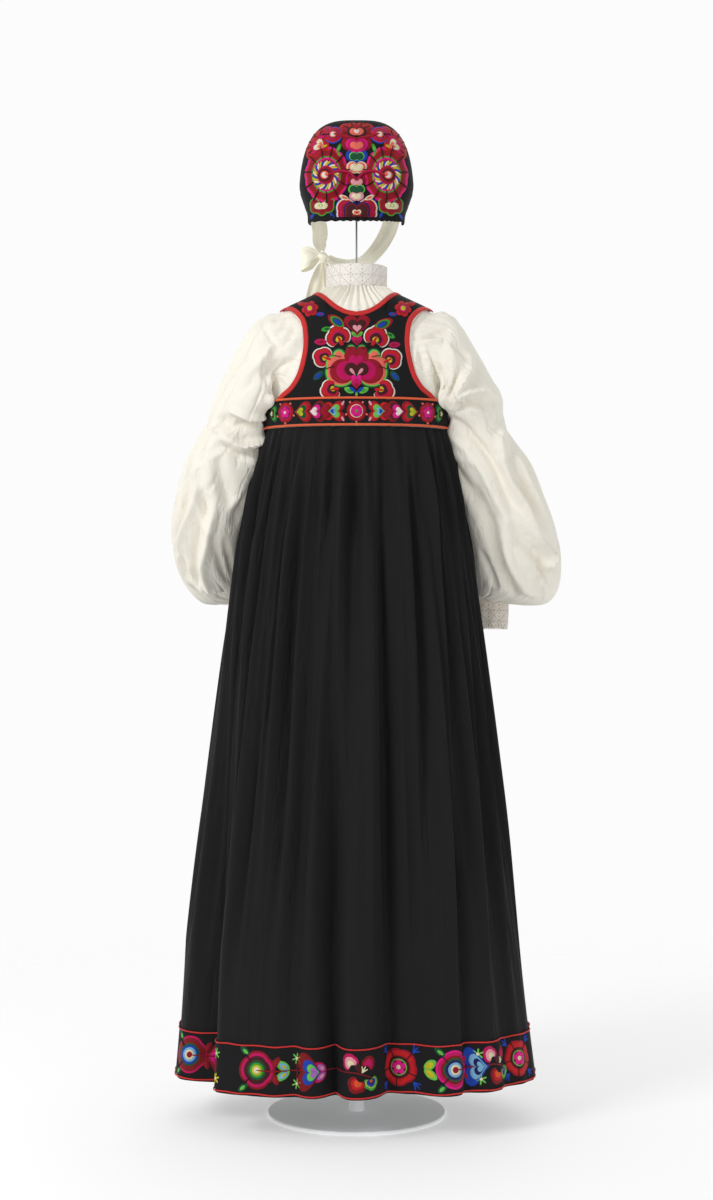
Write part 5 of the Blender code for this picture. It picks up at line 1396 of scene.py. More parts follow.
def leaf_outline(width):
    turn = turns_of(60)
    return np.stack([width * np.sin(turn) * np.abs(np.sin(turn)) ** 0.25, np.cos(turn)], axis=1)


def drop_outline(width):
    """Pointed at its top and round at its foot."""
    turn = turns_of(60)
    return np.stack([width * np.sin(turn) * np.sin(turn / 2) ** 1.3, np.cos(turn)], axis=1)


def clover_outline(circles, inset, hub, start, end):
    """The outline round a cluster of circles (x, y, radius), each drawn in by an inset, seen from a hub."""
    turn = np.radians(np.linspace(start, end, 150, endpoint=end - start < 360.0))
    way = np.stack([np.sin(turn), np.cos(turn)], axis=1)
    reach = np.full(len(turn), 0.02)
    for x, y, radius in circles:
        offset = np.array([x, y]) - hub
        toward = way @ offset
        inside = (radius - inset) ** 2 - (offset @ offset - toward ** 2)
        far = toward + np.sqrt(np.maximum(inside, 0.0))
        reach = np.where((inside > 0.0) & (far > reach), far, reach)
    return np.array(hub) + way * reach[:, None]


def clover(work, middle, circles, layers, hub=(0.0, 0.0), level=0, start=0.0, end=360.0):
    """A many-lobed flower in even bands: layers are (inset, thread), insets and circles in millimetres."""
    for number, (inset, color) in enumerate(layers):
        outline = clover_outline(circles, inset, hub, start, end)
        if end - start < 360.0:
            outline = np.vstack([outline, [hub]])
        work.fill(Spot(middle[0], middle[1], 1.0), outline, color, level + number, tuple(hub))


def both_sides(*circles):
    return [(side * x, y, radius) for x, y, radius in circles for side in ((-1, 1) if x else (1,))]


def nested(work, spot, outline, layers, hub, level=0):
    """The same outline at falling sizes, all drawn in towards one hub: layers are (share, thread)."""
    hub = np.array(hub)
    for number, (share, color) in enumerate(layers):
        work.fill(spot, hub + (outline - hub) * share, color, level + number, tuple(hub))


def heart(work, spot, *layers, level=0):
    nested(work, spot, heart_outline(), layers, (0.0, -0.45), level)


def shell(work, spot, *layers, lobes=3, level=0):
    nested(work, spot, shell_outline(lobes), layers, (0.0, -0.30), level)


def leaf(work, spot, *layers, width=0.42, level=0):
    nested(work, spot, leaf_outline(width), layers, (0.0, -0.25), level)


def drop(work, spot, *layers, width=0.55, level=0):
    nested(work, spot, drop_outline(width), layers, (0.0, -0.2), level)


def flower(work, spot, lobes, layers, slits=(), slit_from=0.5, phase=0.0, level=0):
    """Rings of thread about one middle: layers are (share, thread, notch); slits leave the cloth bare."""
    for number, (share, color, notch) in enumerate(layers):
        work.fill(spot, lobed(lobes, notch, phase) * share, color, level + number)
    for turn in slits:
        way = step_toward(turn)
        side = np.array([way[1], -way[0]])
        path = [way * slit_from, way * (slit_from + 1.04) / 2 + side * 0.02, way * 1.04]
        work.stem(spot, path, 0.035, "black", level + len(layers))


def star_flower(work, spot, color, middle):
    for turn in range(0, 360, 60):
        way = step_toward(turn + 12)
        work.stem(spot, [way * 0.15, way * 0.6, way], 0.16, color)
    work.fill(spot, lobed(5, 0.0) * 0.30, middle, 1)


def sprig(work, spot, color):
    for turn in (-48, 0, 48):
        way = step_toward(turn)
        work.stem(spot, [(0.0, -0.5), way * 0.3 + [0.0, -0.2], way * 0.9], 0.14, color)


def leaf_pair(work, spot, *layers, spread=50.0):
    """Two leaves from one point; the point is the spot."""
    for sign in (-1, 1):
        turn = spot.turn + sign * spread
        reach = spot.size / 2
        x = spot.x - reach * sin(radians(turn))
        y = spot.y + reach * cos(radians(turn))
        leaf(work, Spot(x, y, reach, turn, spot.width), *layers)


# ---------------------------------------------------------------- the bodice's flowers
# Millimetres across from the middle of the back, and up from the band.
BODICE_SHELL = ((1, "white"), (0.91, "crimson"), (0.84, "red"), (0.6, "magenta"), (0.5, "maroon"),
                (0.27, "yellow"))


def bodice_shell(work, spot, tail_turn):
    """A white-edged clam flower with a yellow heart and a red tail."""
    shell(work, spot, *BODICE_SHELL)
    turn = radians(spot.turn + tail_turn)
    path = [(-reach * sin(turn), reach * cos(turn)) for reach in (0, 0.42, 0.75)]
    work.stem(Spot(spot.x, spot.y, spot.size), path, 0.16, "red", 6)


def stitch_bodice(work):
    # the great many-lobed flower
    middle = (0, 42)
    outer = both_sides((25, 0.5, 26.5), (37, 14, 14.5), (28, 27, 12), (8.5, 37, 9))
    clover(work, middle, outer, ((0, "dark green"), (2.1, "light green"), (4.6, "salmon")), (0, 6))
    clover(work, middle, both_sides((23, 1, 20), (10, 26, 10)), ((0, "crimson"),), (0, 8), 3)
    clover(work, middle, both_sides((17, 2, 15.5), (5.5, 17, 7)), ((0, "magenta"),), (0, 6), 4)
    heart(work, Spot(0, 71, 15, 0, 1.15), (1, "crimson"), level=5)
    heart(work, Spot(0, 60, 10.5, 0, 1.15), (1, "magenta"), level=7)
    clover(work, middle, both_sides((9, 4.5, 10.5)), ((0, "maroon"),), (0, -1), 8)
    for side in (-1, 1):
        drop(work, Spot(side * 6, 42, 7.2, side * -38 + 180), (1, "pink"), level=10)
        # bare slits between the lobes
        for ends in (((9, 79), (16.5, 82.5)), ((24, 66), (38, 68.5)), ((35, 51), (49, 47))):
            path = [(side * x, y) for x, y in ends]
            path.insert(1, ((path[0][0] + path[1][0]) / 2, (path[0][1] + path[1][1]) / 2 + 0.5))
            work.stem(Spot(0, 0, 1), path, 0.75, "black", 9)
    for low, outer, inner in ((30, "hot pink", "magenta"), (22.5, "magenta", "crimson")):
        heart(work, Spot(0, low, 8.8), (1, outer), (0.5, inner), level=9)
    # the blue and green spray under it
    for side in (-1, 1):
        leaf(work, Spot(side * 12, 12.5, 8.6, side * -62, 1.3), (1, "light green"), (0.5, "green"))
        drop(work, Spot(side * 5.2, 12.5, 7.4, side * 128), (1, "blue"), level=1)
    leaf(work, Spot(0, 6, 4.4, 0, 1.1), (1, "light green"))
    # the heart at the neck
    for side in (-1, 1):
        drop(work, Spot(side * 7.4, 129, 8.2, side * 152), (1, "red"), (0.55, "crimson"))
    heart(work, Spot(1, 118, 19.5, 0, 1.08), (1, "crimson"), (0.7, "maroon"), (0.36, "pink"), level=1)
    leaf_pair(work, Spot(0.8, 98.5, 13, 0, 1.1), (1, "light green"), (0.45, "green"), spread=46)
    heart(work, Spot(0.8, 92.5, 9), (1, "magenta"), (0.5, "crimson"), level=1)
    # clam flowers all round it
    for x, y, size, turn, tail in ((-29.5, 99, 21, 18, 190), (32, 98.5, 21, -18, 170),
                                   (-53.5, 66.5, 17.5, 62, 190), (55.5, 64, 18.5, -52, 170),
                                   (-41, 13.5, 18, 112, 165), (43, 12.5, 19, -112, 195)):
        bodice_shell(work, Spot(x, y, size, turn), tail)
    # leaves between them
    for x, y, turn in ((-32, 124.5, 52), (43, 120, -62)):
        leaf(work, Spot(x, y, 17, turn, 1.2), (1, "crimson"), (0.78, "green"), (0.6, "dark green"),
             (0.45, "blue"))
    for outer, inner, spots in (("green", "dark green", ((-48.5, 112, 8, 100), (54.5, 102, 8, -120))),
                                ("magenta", "crimson", ((-57, 91.5, 10.5, 88), (60.5, 87, 9.5, -84)))):
        for spot in spots:
            leaf(work, Spot(*spot), (1, outer), (0.5, inner), width=0.5)
    for x, y, turn in ((-60.5, 37, -48), (61, 36, 42)):
        leaf(work, Spot(x, y, 10.5, turn, 1.25), (1, "dark green"), (0.66, "blue"))
    # strap flowers
    for side in (-1, 1):
        flower(work, Spot(side * 74.5, 147, 13.5, side * -12), 6,
               ((1, "red", 0.3), (0.72, "crimson", 0.22), (0.5, "magenta", 0.06), (0.32, "yellow", 0.05)))
        leaf(work, Spot(side * 58, 137, 7, 90, 1.2), (1, "blue"), (0.45, "crimson"))
        leaf(work, Spot(side * 88, 156, 8.5, side * -70), (1, "red"), (0.5, "crimson"))


# ---------------------------------------------------------------- the band's flowers
# Millimetres round the band from the middle of the back, and up from its lower edge.
BAND_MIDDLE = 19.4
BAND_REPEAT = 456.7


def band_rosette(work, x, ring, edge, petals, eye):
    flower(work, Spot(x, BAND_MIDDLE, 17, 0, 0.96), 5,
           ((1, "crimson", 0.12), (0.82, "red", 0.1), (0.66, ring, 0.02), (0.6, edge, 0.02)), phase=36)
    for turn in range(0, 360, 72):
        for away, lean, size, color, level in ((5.4, 0, 4.3, petals, 5), (17.6, 36, 2, "salmon", 4)):
            off = away * step_toward(turn + lean)
            work.fill(Spot(x + off[0], BAND_MIDDLE + off[1], size), DISC, color, level)
    work.fill(Spot(x, BAND_MIDDLE, 2.8), DISC, eye, 6)


BAND_HEARTS = (
    # how far along, size, then the threads from the edge in
    (34, 17, ("crimson", "red", "light green", "light blue", "blue")),
    (51, 15, ("red", "dark red", "crimson")),
    (66, 17.5, ("dark red", "maroon", "hot pink", "white")),
    (90, 17.5, ("crimson", "red", "dark green", "yellow", "lime")),
)
BAND_SHARES = (1, 0.82, 0.66, 0.42, 0.24)


def stitch_band_run(work, middle):
    """One run of the band's pattern, opening out both ways from a pink rosette."""
    band_rosette(work, middle, "white", "crimson", "hot pink", "green")
    for side in (-1, 1):
        for far, size, colors in BAND_HEARTS:
            heart(work, Spot(middle + side * far, BAND_MIDDLE, size, side * 90), *zip(BAND_SHARES, colors))
        for up in (7, 32):
            lean = 28 if up > BAND_MIDDLE else -28
            leaf(work, Spot(middle + side * 22.5, up, 5, side * lean), (1, "pink"))
        band_rosette(work, middle + side * 123, "purple", "crimson", "hot pink", "white")
        spot = Spot(middle + side * 152, BAND_MIDDLE, 13, side * 90, 1.15)
        heart(work, spot, (1, "dark green"), (0.8, "green"), (0.55, "maroon"), (0.3, "cream"))


def stitch_band(work):
    stitch_band_run(work, 0)
    stitch_band_run(work, BAND_REPEAT)
    for side in (-1, 1):
        middle = side * 228.4
        flower(work, Spot(middle, BAND_MIDDLE, 16), 5,
               ((1, "dark red", 0.2), (0.8, "red", 0.16), (0.55, "magenta", 0.1), (0.3, "yellow", 0)))
        for way in (-1, 1):
            spot = Spot(middle + way * 36, BAND_MIDDLE, 16, way * 90)
            heart(work, spot, (1, "crimson"), (0.75, "blue"), (0.5, "light green"), (0.25, "yellow"))


# ---------------------------------------------------------------- the hem's flowers
# Millimetres round the skirt from its left side, over the back, and up from the strip's lower edge.
HEM_MIDDLE = 37


def hem_rose(work, x, kind, y, size):
    """A great rose with bare slits, an eye of bright rings, and a stem that leaves from the eye."""
    shares = (1, 0.9, 0.74, 0.62, 0.52, 0.4, 0.28, 0.18)
    notches = (0.1, 0.1, 0.08, 0.05, 0.03, 0, 0, 0)
    spot = Spot(x, y, size, 0, 1)
    flower(work, spot, 4, tuple(zip(shares, ROSE_THREADS[kind], notches)), slits=(-42, -138), slit_from=0.56,
           phase=45)
    work.stem(spot, [(0, 0), (0.6, -0.02), (1.55, 0)], 0.05, "dark red", 9)
    for up in (-1, 1):
        leaf(work, Spot(x - size * 0.72, y + up * size * 0.93, size * 0.34, up * 48),
             (1, "dark green"), (0.55, "light green"), width=0.5)
        leaf(work, Spot(x + size * 0.98, y + up * size * 0.42, size * 0.34, up * -28),
             (1, "dark red"), (0.6, "crimson"), width=0.5)


def hem_rosette(work, x, y, size):
    flower(work, Spot(x, y, size), 5,
           ((1, "crimson", 0.1), (0.9, "red", 0.08), (0.62, "maroon", 0.05), (0.45, "light green", 0.02),
            (0.4, "maroon", 0.02)), slits=(-28, 44, 116, 188, 260), slit_from=0.46, phase=8)
    for turn in range(0, 360, 72):
        away = size * 0.24
        work.fill(Spot(x + away * sin(radians(turn)), y + away * cos(radians(turn)), size * 0.17), DISC,
                  "hot pink", 6)
    work.fill(Spot(x, y, size * 0.13), lobed(5, 0), "cream", 8)
    for across in (-1, 1):
        for up in (-1, 1):
            sprig(work, Spot(x + across * size * 0.86, y + up * size * 0.86, size * 0.34,
                             -across * (45 if up > 0 else 135)), "blue")


def hem_heart_pair(work, x, toward, colors):
    """Two lobes above and below the stem, with smaller ones within."""
    heart(work, Spot(x, HEM_MIDDLE, 25, toward * 90, 1.25), *zip((1, 0.66, 0.44, 0.28), colors))


def hem_stars(work, x, upper, lower):
    work.stem(Spot(x, HEM_MIDDLE, 20), [(0, -0.8), (0.03, 0), (-0.02, 0.8)], 0.05, "dark red")
    star_flower(work, Spot(x - 0.5, HEM_MIDDLE + 20, 9), upper, "cream")
    star_flower(work, Spot(x + 0.5, HEM_MIDDLE - 20, 9), lower, "cream")


def hem_spray(work, x):
    """The knot of small mixed flowers between two great ones."""
    work.stem(Spot(x, HEM_MIDDLE, 30), [(-1.2, 0), (0, 0.06), (1, -0.25)], 0.035, "dark red")
    shell(work, Spot(x - 6, 55, 14, 30), (1, "magenta"), (0.72, "pink"), (0.4, "cream"), lobes=2)
    leaf(work, Spot(x + 7, 47, 9, -150, 1.3), (1, "maroon"))
    shell(work, Spot(x + 24, 53, 12, -25), (1, "dark red"), (0.68, "magenta"), lobes=2)
    sprig(work, Spot(x + 15, 42, 8, -30), "cream")
    shell(work, Spot(x + 5, 20, 15, 150), (1, "dark red"), (0.7, "red"), (0.44, "orange"))
    shell(work, Spot(x + 28, 22, 13, 195), (1, "green"), (0.8, "lime"), (0.66, "blue"), (0.44, "navy"),
          (0.24, "orange"))


def hem_leafy_heart(work, x, toward, colors):
    leaf_pair(work, Spot(x + toward * 8, HEM_MIDDLE, 26, toward * 90, 1.3), *zip((1, 0.68, 0.36), colors),
              spread=34)


ROSE_THREADS = {
    "blue": ("magenta", "dark red", "dark red", "dark green", "blue", "light blue", "cream", "crimson"),
    "yellow": ("dark red", "magenta", "maroon", "maroon", "dark green", "green", "yellow", "cream"),
    "navy": ("hot pink", "magenta", "dark red", "dark green", "navy", "light blue", "cream", "crimson"),
}
HEM_PARTS = (
    # what, how far round the skirt, and its own details
    ("rose", 80, ("blue", 38, 31)), ("heart", 128, (-1, ("dark red", "crimson", "magenta", "hot pink"))),
    ("leafy", 160, (1, ("magenta", "crimson", "hot pink"))), ("stars", 206, ("light green", "yellow")),
    ("rose", 281, ("yellow", 37, 31)), ("leafy", 326, (1, ("light green", "light blue", "yellow"))),
    ("stars", 347, ("light green", "light green")),
    ("heart", 370, (1, ("dark red", "blue", "light green", "lilac"))),
    ("leafy", 392, (1, ("magenta", "lilac", "pink"))), ("spray", 474, ()),
    ("rosette", 574, (38, 31)), ("leafy", 624, (-1, ("light green", "yellow", "yellow"))),
    ("rose", 667, ("navy", 37, 31)), ("heart", 716, (1, ("blue", "light blue", "navy", "light blue"))),
    ("stars", 722, ("light green", "light green")), ("spray", 748, ()), ("rosette", 816, (38, 30)),
)
HEM_REPEAT = 918.25
HEM_MAKERS = {"rose": hem_rose, "rosette": hem_rosette, "heart": hem_heart_pair, "stars": hem_stars,
              "spray": hem_spray, "leafy": hem_leafy_heart}


def stitch_hem(work, start):
    """One run of the hem's pattern; the same run goes round the front."""
    for what, far, details in HEM_PARTS:
        HEM_MAKERS[what](work, start + far, *details)
    work.stem(Spot(start + 410, HEM_MIDDLE, 60), [(-1.9, 0), (-0.6, 0.02), (0.9, 0.03)], 0.016, "dark red")


# ---------------------------------------------------------------- the cap's flowers
# Millimetres across from the middle of the back, and up from the cap's lower edge.
WHEEL_TURNS = range(15, 375, 33)   # where the slits between a great wheel's petals are, in degrees
EYE_STRIPES = 27


def cap_wheel(work, side):
    """A great wheel of petals parted by bare slits, its eye ringed with slanting stripes."""
    spot = Spot(side * 49, 76.5, 48, 0, 0.77)
    flower(work, spot, 11, (
        (1, "hot pink", 0.06), (0.92, "red", 0.05), (0.86, "dark red", 0.04), (0.83, "crimson", 0.04),
        (0.76, "dark red", 0.04), (0.74, "crimson", 0.04), (0.655, "green", 0.03), (0.605, "hot pink", 0.03),
        (0.53, "crimson", 0)))
    hub = Spot(side * 50, 75, 46, 0, 0.88)
    for number in range(EYE_STRIPES):
        turn = radians(number * 360 / EYE_STRIPES)
        path = [(share * sin(turn + lean), share * cos(turn + lean))
                for share, lean in ((0.33, 0), (0.42, 0.16), (0.52, 0.36))]
        work.stem(hub, path, 0.053, ("yellow", "blue", "cream")[number % 3], 11)
    flower(work, hub, 1, ((0.36, "magenta", 0), (0.31, "crimson", 0)), level=12)
    for x, y, radius, layers, level in (
            (1.5, 0, 11, ((0, "maroon"), (2.6, "crimson"), (4.2, "salmon")), 14),
            (1, 0, 5.4, ((0, "white"),), 17), (-1.6, 0.8, 3.9, ((0, "salmon"),), 18)):
        clover(work, (hub.x + side * x, hub.y + y), [(0, 0, radius)], layers, level=level)
    for turn in WHEEL_TURNS:
        way = step_toward(turn)
        work.stem(spot, [way * 0.57, way * 0.8 + [0.01, 0], way * 1.04], 0.026, "black", 13)


def cap_small_wheel(work, side):
    spot = Spot(side * 38.5, 145, 16.5)
    flower(work, spot, 7, (
        (1, "blue", 0.06), (0.88, "red", 0.06), (0.72, "dark red", 0.03), (0.66, "magenta", 0),
        (0.5, "maroon", 0), (0.4, "salmon", 0), (0.26, "white", 0)), level=2)
    work.stem(spot, [(side * 0.25, 0), (side * 0.7, 0.05), (side * 1.1, 0)], 0.07, "black", 10)


# The column up the middle of the cap: height of the middle, then half width, half height and thread of
# each broad heart laid on the last.
CAP_COLUMN = (
    (149, ((17, 10, "maroon"), (12, 7.5, "salmon"), (5, 4.5, "white"))),
    (124, ((25, 19, "crimson"), (22.6, 16.8, "dark red"), (21.6, 16, "crimson"), (18.4, 13.2, "hot pink"),
           (15.4, 10.6, "magenta"), (11.5, 7.6, "salmon"))),
    (106, ((18.5, 12, "blue"), (13.2, 7.8, "light green"), (11.4, 6.2, "dark green"))),
    (87, ((17, 11, "cream"), (15, 9.4, "salmon"), (11.4, 7, "cream"))),
    (63, ((15.5, 12, "crimson"), (13, 9, "dark red"), (10.4, 6.4, "pink"))),
    (50, ((14.2, 9.4, "light green"), (12, 7.6, "dark green"))),
    (39, ((12.2, 8, "pink"), (8.6, 5.4, "cream"))),
)


def cap_hearts(work, x, y, layers, level):
    """Broad hearts one on another: two round lobes above and a point below."""
    for number, (half_width, half_height, color) in enumerate(layers):
        lobe = half_width * 0.55
        circles = both_sides((half_width - lobe, half_height - lobe, lobe),
                             (half_width * 0.24, half_height * -0.35, half_width * 0.34))
        clover(work, (x, y), circles, ((0, color),), (0, -half_height * 0.45), level + number)


def stitch_cap(work):
    # the fan at the top
    clover(work, (0, 148), both_sides((17, 6, 13), (7, 12, 9), (25, -2, 8)),
           ((0, "red"), (2.6, "dark red"), (3.8, "red"), (6, "dark red"), (7.2, "crimson")), (0, 0))
    for number, (y, layers) in enumerate(CAP_COLUMN):
        cap_hearts(work, 0.3, y, layers, 5 if y > 140 else number * 2)
    # the half flower at the lower edge
    half = both_sides((18, 15, 17.5), (21, 5, 14))
    clover(work, (0.5, 6), half, ((0, "blue"), (1.5, "cream"), (3.2, "salmon"), (4.2, "crimson"),
                                  (7, "magenta"), (9, "crimson")), (0, 0), 1, -90, 90)
    clover(work, (0.5, 6), both_sides((9, 12, 13), (9.5, 2, 12)),
           ((0, "navy"), (2.4, "dark red"), (4.4, "maroon")), (0, 0), 7, -90, 90)
    cap_hearts(work, 0.5, 13, ((8.4, 5.4, "cream"), (5.6, 3.6, "salmon"), (2.4, 2, "red")), 10)
    for side in (-1, 1):
        leaf(work, Spot(side * 4.5 + 0.5, 8.6, 3.4, side * 60), (1, "red"), level=11)
        leaf(work, Spot(side * 21 + 0.5, 38, 9, side * -66), (1, "cream"), (0.6, "salmon"), level=4)
    for side in (-1, 1):
        cap_wheel(work, side)
        cap_small_wheel(work, side)
        # stems from the wheels' eyes to the middle
        stem = Spot(side * 24.5, 77, 26)
        path = [(side * 0.86, -0.12), (side * 0.45, 0.1), (side * -0.1, 0.16), (side * -0.55, 0.02),
                (side * -0.93, -0.42)]
        work.stem(stem, path, 0.13, "crimson", 19)
        work.stem(stem, path, 0.055, "magenta", 21)
        work.stem(Spot(side * 19, 141, 19), [(side * 0.95, 0.24), (side * 0.3, 0.06), (-side, -0.25)],
                  0.15, "crimson", 11)
        # red flowers at the sides with cream and salmon lobes
        clover(work, (side * 64, 127),
               [(0, 0, 19), (side * 6, -12, 13), (side * -7, 16, 15), (side * -17, 25, 11)],
               ((0, "red"), (3.6, "dark red"), (4.8, "red"), (7.4, "crimson"), (9.4, "magenta")))
        for turn in (-40, 0, 40, 76, 104):
            way = np.array([side * cos(radians(turn)), sin(radians(turn))]) * (1 if turn < 60 else 1.5)
            work.stem(Spot(side * 64, 127, 19), [way * 0.6, way * 0.8, way * 1.02], 0.06, "black", 5)
        for turn in (24, 58):
            way = step_toward(turn) * [side, 1]
            work.stem(Spot(0, 148, 24), [way * 0.6, way * 0.8, way * 1.05], 0.05, "black", 5)
        heart(work, Spot(side * 60, 127, 9.5, side * -62, 1.15), (1, "cream"), (0.55, "salmon"), level=6)
        heart(work, Spot(side * 56.5, 123.5, 5, side * -62), (1, "salmon"), level=8)
        leaf(work, Spot(side * 51.5, 124.5, 4.5, side * 60), (1, "yellow"), level=6)
        # corner flowers
        corner = both_sides((10, 2, 10.5), (12.5, 9, 8.5), (0, -5, 8))
        clover(work, (side * 56.5, 21), corner,
               ((0, "green"), (1.6, "crimson"), (4.4, "dark red"), (6.2, "crimson")), (0, 2), 1)
        cap_hearts(work, side * 57, 25, ((10.5, 6, "cream"), (5, 3.4, "lime"), (2.6, 2.2, "white")), 14)
        for x, y, turn in ((73, 9, 35), (40, 9, -30)):
            leaf(work, Spot(side * x, y, 6, side * turn), (1, "blue"))
        for y in (108, 121):
            leaf(work, Spot(side * 29, y, 8.5, side * (-25 if y < 120 else 20), 0.9), (1, "green"),
                 (0.55, "light green"))


def stitch_cap_side(work):
    """Flowers on the cap's narrow side: millimetres up, and forward from the crown's rim."""
    kinds = (("red", "maroon", "salmon"), ("blue", "light blue", "cream"), ("green", "yellow", "red"))
    for number in range(7):
        y = 14 + number * 24
        flower(work, Spot(22, y, 11), 5, tuple(zip((1, 0.66, 0.34), kinds[number % 3], (0.18, 0.1, 0))))
        leaf(work, Spot(7, y + 12, 6.5, 40), (1, "green"))
        leaf(work, Spot(37, y + 12, 6.5, -40), (1, "crimson"))


# ---------------------------------------------------------------- laying the stitching on its cloth
def bodice_face(x, y, out):
    return on_torso(x, BAND_TOP + 0.002 + y, BODICE_OUT + 0.0001 + out)


def strip_face(surface, level, low, rise, steps):
    """The face of a strip round the garment: x is the distance round it, measured at the given level."""
    angles = np.linspace(0.0, 360.0, 3601)
    arc = lengths_along(surface(angles, np.full(len(angles), level)))

    def face(x, y, out):
        angle = np.interp(x % arc[-1], arc, angles)
        return lifted(surface, angle, low + y, rise + out, *steps)
    return face


def band_face():
    return strip_face(waist_surface, 1.17, BAND_BOTTOM, 0.0, (0.4, 0.003))


def hem_face():
    return strip_face(skirt_surface, (BORDER_TOP + BORDER_BOTTOM) / 2, BORDER_BOTTOM, BORDER_OUT + 0.0007,
                      (0.3, 0.004))


def cap_back_surface(x, y):
    """The cap's back from distances across and up; past the rim it goes on forward along the side."""
    n = CAP_SQUARENESS
    up = np.clip(y / CAP_HEIGHT, 0.0, 0.985)
    across = x / (CAP_HALF_WIDTH * cap_taper(y))
    share = (np.abs(across) ** n + up ** n) ** (1 / n)
    held = np.minimum(share, CAP_RIM_SHARE)
    depth = (-CAP_DEPTH * (1.0 - held ** n) ** (1 / n)
             + np.maximum(share - CAP_RIM_SHARE, 0.0) * CAP_HALF_WIDTH * 1.2)
    shrink = held / np.maximum(share, 1e-6)
    return np.stack([x * shrink, depth, cap_height(up * shrink, depth)], axis=-1)


def cap_face(x, y, out):
    return lifted(cap_back_surface, x, y, out + 0.0003, 0.001, 0.001)


def cap_side_face(side):
    def surface(x, y):
        rise = np.clip(y / CAP_HEIGHT, 0.0, 0.999)
        reach = (1.0 - rise ** CAP_SQUARENESS) ** (1 / CAP_SQUARENESS)
        narrower = 1.0 - CAP_FACE_TAPER * x / CAP_FRONT
        across = side * CAP_HALF_WIDTH * reach * cap_taper(y) * narrower
        return np.stack([across, x, cap_height(rise, x)], axis=-1)

    def face(x, y, out):
        across = surface(x + 0.001, y) - surface(x - 0.001, y)
        rising = surface(x, y + 0.001) - surface(x, y - 0.001)
        normal = unit(np.cross(across, rising))
        normal *= np.sign(normal[:, :1] * side)
        return surface(x, y) + normal * (out + 0.0003)[:, None]
    return face


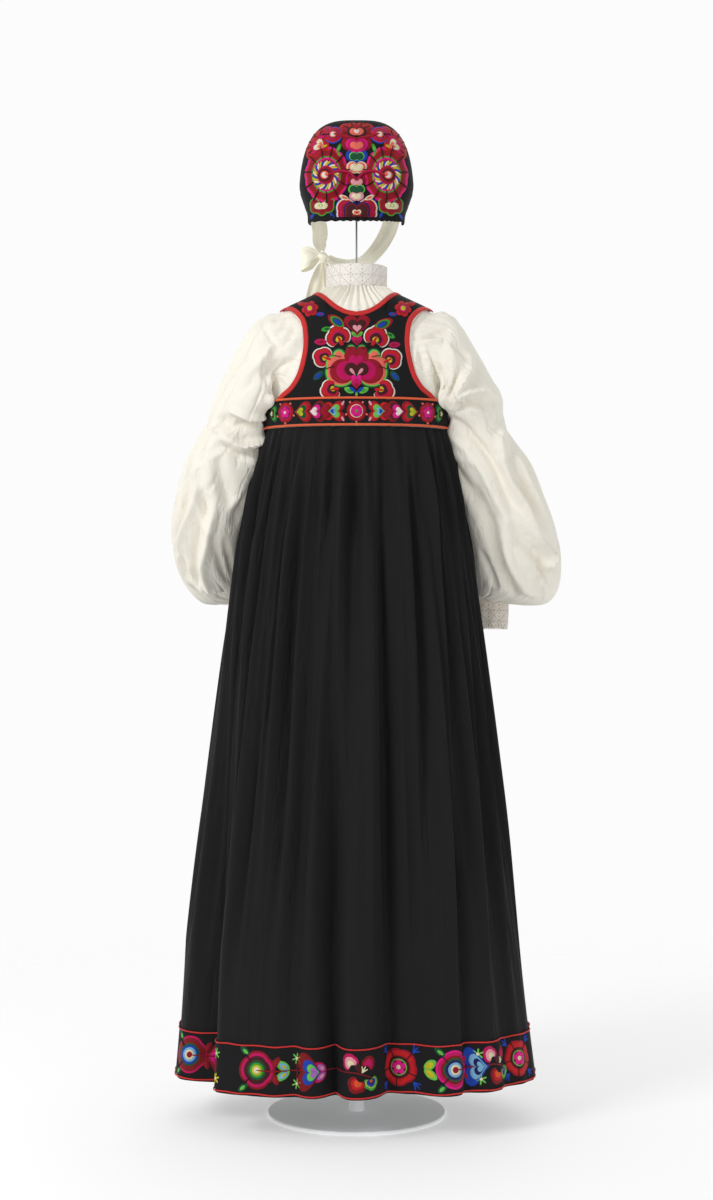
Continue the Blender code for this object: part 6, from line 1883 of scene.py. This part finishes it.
# ---------------------------------------------------------------- the whole costume
def dress_the_costume():
    # The linen's last number is a painted glow that lifts its shadows.
    linen = woven_material("shirt_linen", linear(240, 236, 224), 0.78, 1500.0, 0.00006,
                           (24.0, 2.4, 0.0040), 0.12, 0.03, 0.06)
    white = whitework_material("collar_whitework", linear(249, 244, 235), 0.30, 0.0006)
    # The cuffs take a darker, warmer copy of the collar's whitework with darker holes: painted shade on the
    # cuffs.
    shaded_cuff_white = whitework_material("cuff_whitework", linear(246, 237, 224), 0.42, 0.0011)
    black = woven_material("bodice_wool", linear(17, 16, 18), 0.85, 1300.0, 0.0001, (40.0, 1.0, 0.0006), 0.05)
    red = tape_material("red_woollen_tape", linear(202, 30, 28))
    orange = tape_material("orange_piping_wool", linear(226, 92, 48))
    skirt_wool = woven_material("skirt_wool", linear(20, 20, 22), 0.86, 1300.0, 0.0001, (9.0, 5.0, 0.0045),
                                0.08)
    silk = silk_material("ribbon_silk", linear(242, 240, 220))
    cap_wool = woven_material("cap_wool", linear(16, 15, 18), 0.85, 1300.0, 0.0001, (40.0, 1.0, 0.0004), 0.05)
    # The stand's paint has a painted glow that lifts its shadows.
    grey_paint = painted_material("stand_paint", linear(222, 223, 224), 0.5, 0.0, 0.22)
    steel = painted_material("rod_steel", linear(170, 170, 172), 0.35, 0.7)
    form = woven_material("form_cloth", linear(222, 214, 198), 0.8, 900.0, 0.00008, (20.0, 1.0, 0.0004), 0.1)

    for word in ("back", "front"):
        place(make_shirt_half(f"shirt_{word}_linen", word == "front", linen), "white_linen", f"shirt_{word}")
    sides = (("right", 1, RIGHT_SLEEVE, RIGHT_CREASES), ("left", -1, LEFT_SLEEVE, LEFT_CREASES))
    for word, side, table, creases in sides:
        place(make_sleeve(f"sleeve_{word}_linen", table, side, creases, linen), "white_linen",
              f"sleeve_{word}")
    for word, side, table, _ in sides:
        place(make_cuff(f"cuff_{word}_whitework", table[-1], side, shaded_cuff_white), "whitework", f"cuff_{word}")
    place(make_collar(white), "whitework", "collar")
    back_half = panel_half(BACK_NECK, BACK_ARMHOLE, 71, 15, 14)
    front_half = panel_half(FRONT_NECK, FRONT_ARMHOLE, 71, 15, 12)
    for word, half, halves in (("back", back_half, (-1, 1)), ("front_left", front_half, (-1,)),
                               ("front_right", front_half, (1,))):
        place(make_panel(f"bodice_{word}_wool", half, halves, word != "back", black), "bodice_wool",
              f"bodice_{word}")
    for side, word in ((-1, "left"), (1, "right")):
        for edge, which, front in ((BACK_ARMHOLE, "back", False), (FRONT_ARMHOLE, "front", True)):
            place(make_binding(f"armhole_{which}_{word}_tape", edge, (side,), front, red), "red_binding",
                  f"armhole_binding_{which}_{word}")
        place(make_binding(f"neck_front_{word}_tape", FRONT_NECK, (side,), True, red), "red_binding",
              f"neck_binding_front_{word}")
    place(make_binding("neck_back_tape", BACK_NECK, (-1, 1), False, red), "red_binding", "neck_binding_back")
    place(make_band(black), "embroidered_band", "band")
    place(make_piping("piping_top_cord", BAND_TOP + 0.0003, orange), "orange_piping", "piping_top")
    place(make_piping("piping_bottom_cord", BAND_BOTTOM - 0.0043, orange), "orange_piping", "piping_bottom")
    place(make_skirt(skirt_wool), "skirt_wool", "skirt")
    place(make_hem_border(cap_wool), "embroidered_hem", "hem_border")
    place(make_hem_cord("hem_top_cord", BORDER_TOP + 0.0010, red), "red_binding", "hem_cord_top")
    place(make_hem_cord("hem_bottom_cord", BORDER_BOTTOM - 0.0012, red), "red_binding", "hem_cord_bottom")
    place(make_cap(cap_wool), "embroidered_cap", "cap")
    for name, table, upright in (("left", RIBBON_LEFT, False), ("right", RIBBON_RIGHT, False),
                                 ("loop", RIBBON_LOOP, True), ("tail_long", RIBBON_TAIL_LONG, False),
                                 ("tail_short", RIBBON_TAIL_SHORT, False)):
        place(make_ribbon(f"ribbon_{name}_silk", table, silk, upright), "ribbon_silk", f"ribbon_{name}")
    place(make_knot(silk), "ribbon_silk", "ribbon_knot")

    for name, paint in (("stand_base", grey_paint), ("stand_pole", grey_paint), ("dress_form", form),
                        ("cap_rest", form), ("cap_rod", steel)):
        materials = bpy.data.objects[name].data.materials
        materials.clear()
        materials.append(paint)

    thread = embroidery_material("embroidery_wool")
    bodice, band, hem, cap = "bodice_wool", "embroidered_band", "embroidered_hem", "embroidered_cap"
    for name, stitch, face, slot in (
            ("bodice_flowers", stitch_bodice, bodice_face, bodice),
            ("band_flowers", stitch_band, band_face(), band),
            ("hem_flowers_back", lambda work: stitch_hem(work, 0.0), hem_face(), hem),
            ("hem_flowers_front", lambda work: stitch_hem(work, HEM_REPEAT), hem_face(), hem),
            ("cap_flowers", stitch_cap, cap_face, cap),
            ("cap_side_left_flowers", stitch_cap_side, cap_side_face(-1), cap),
            ("cap_side_right_flowers", stitch_cap_side, cap_side_face(1), cap)):
        work = Stitching()
        stitch(work)
        place(work.lay(name, face, thread), slot)


make_stage()
dress_the_costume()
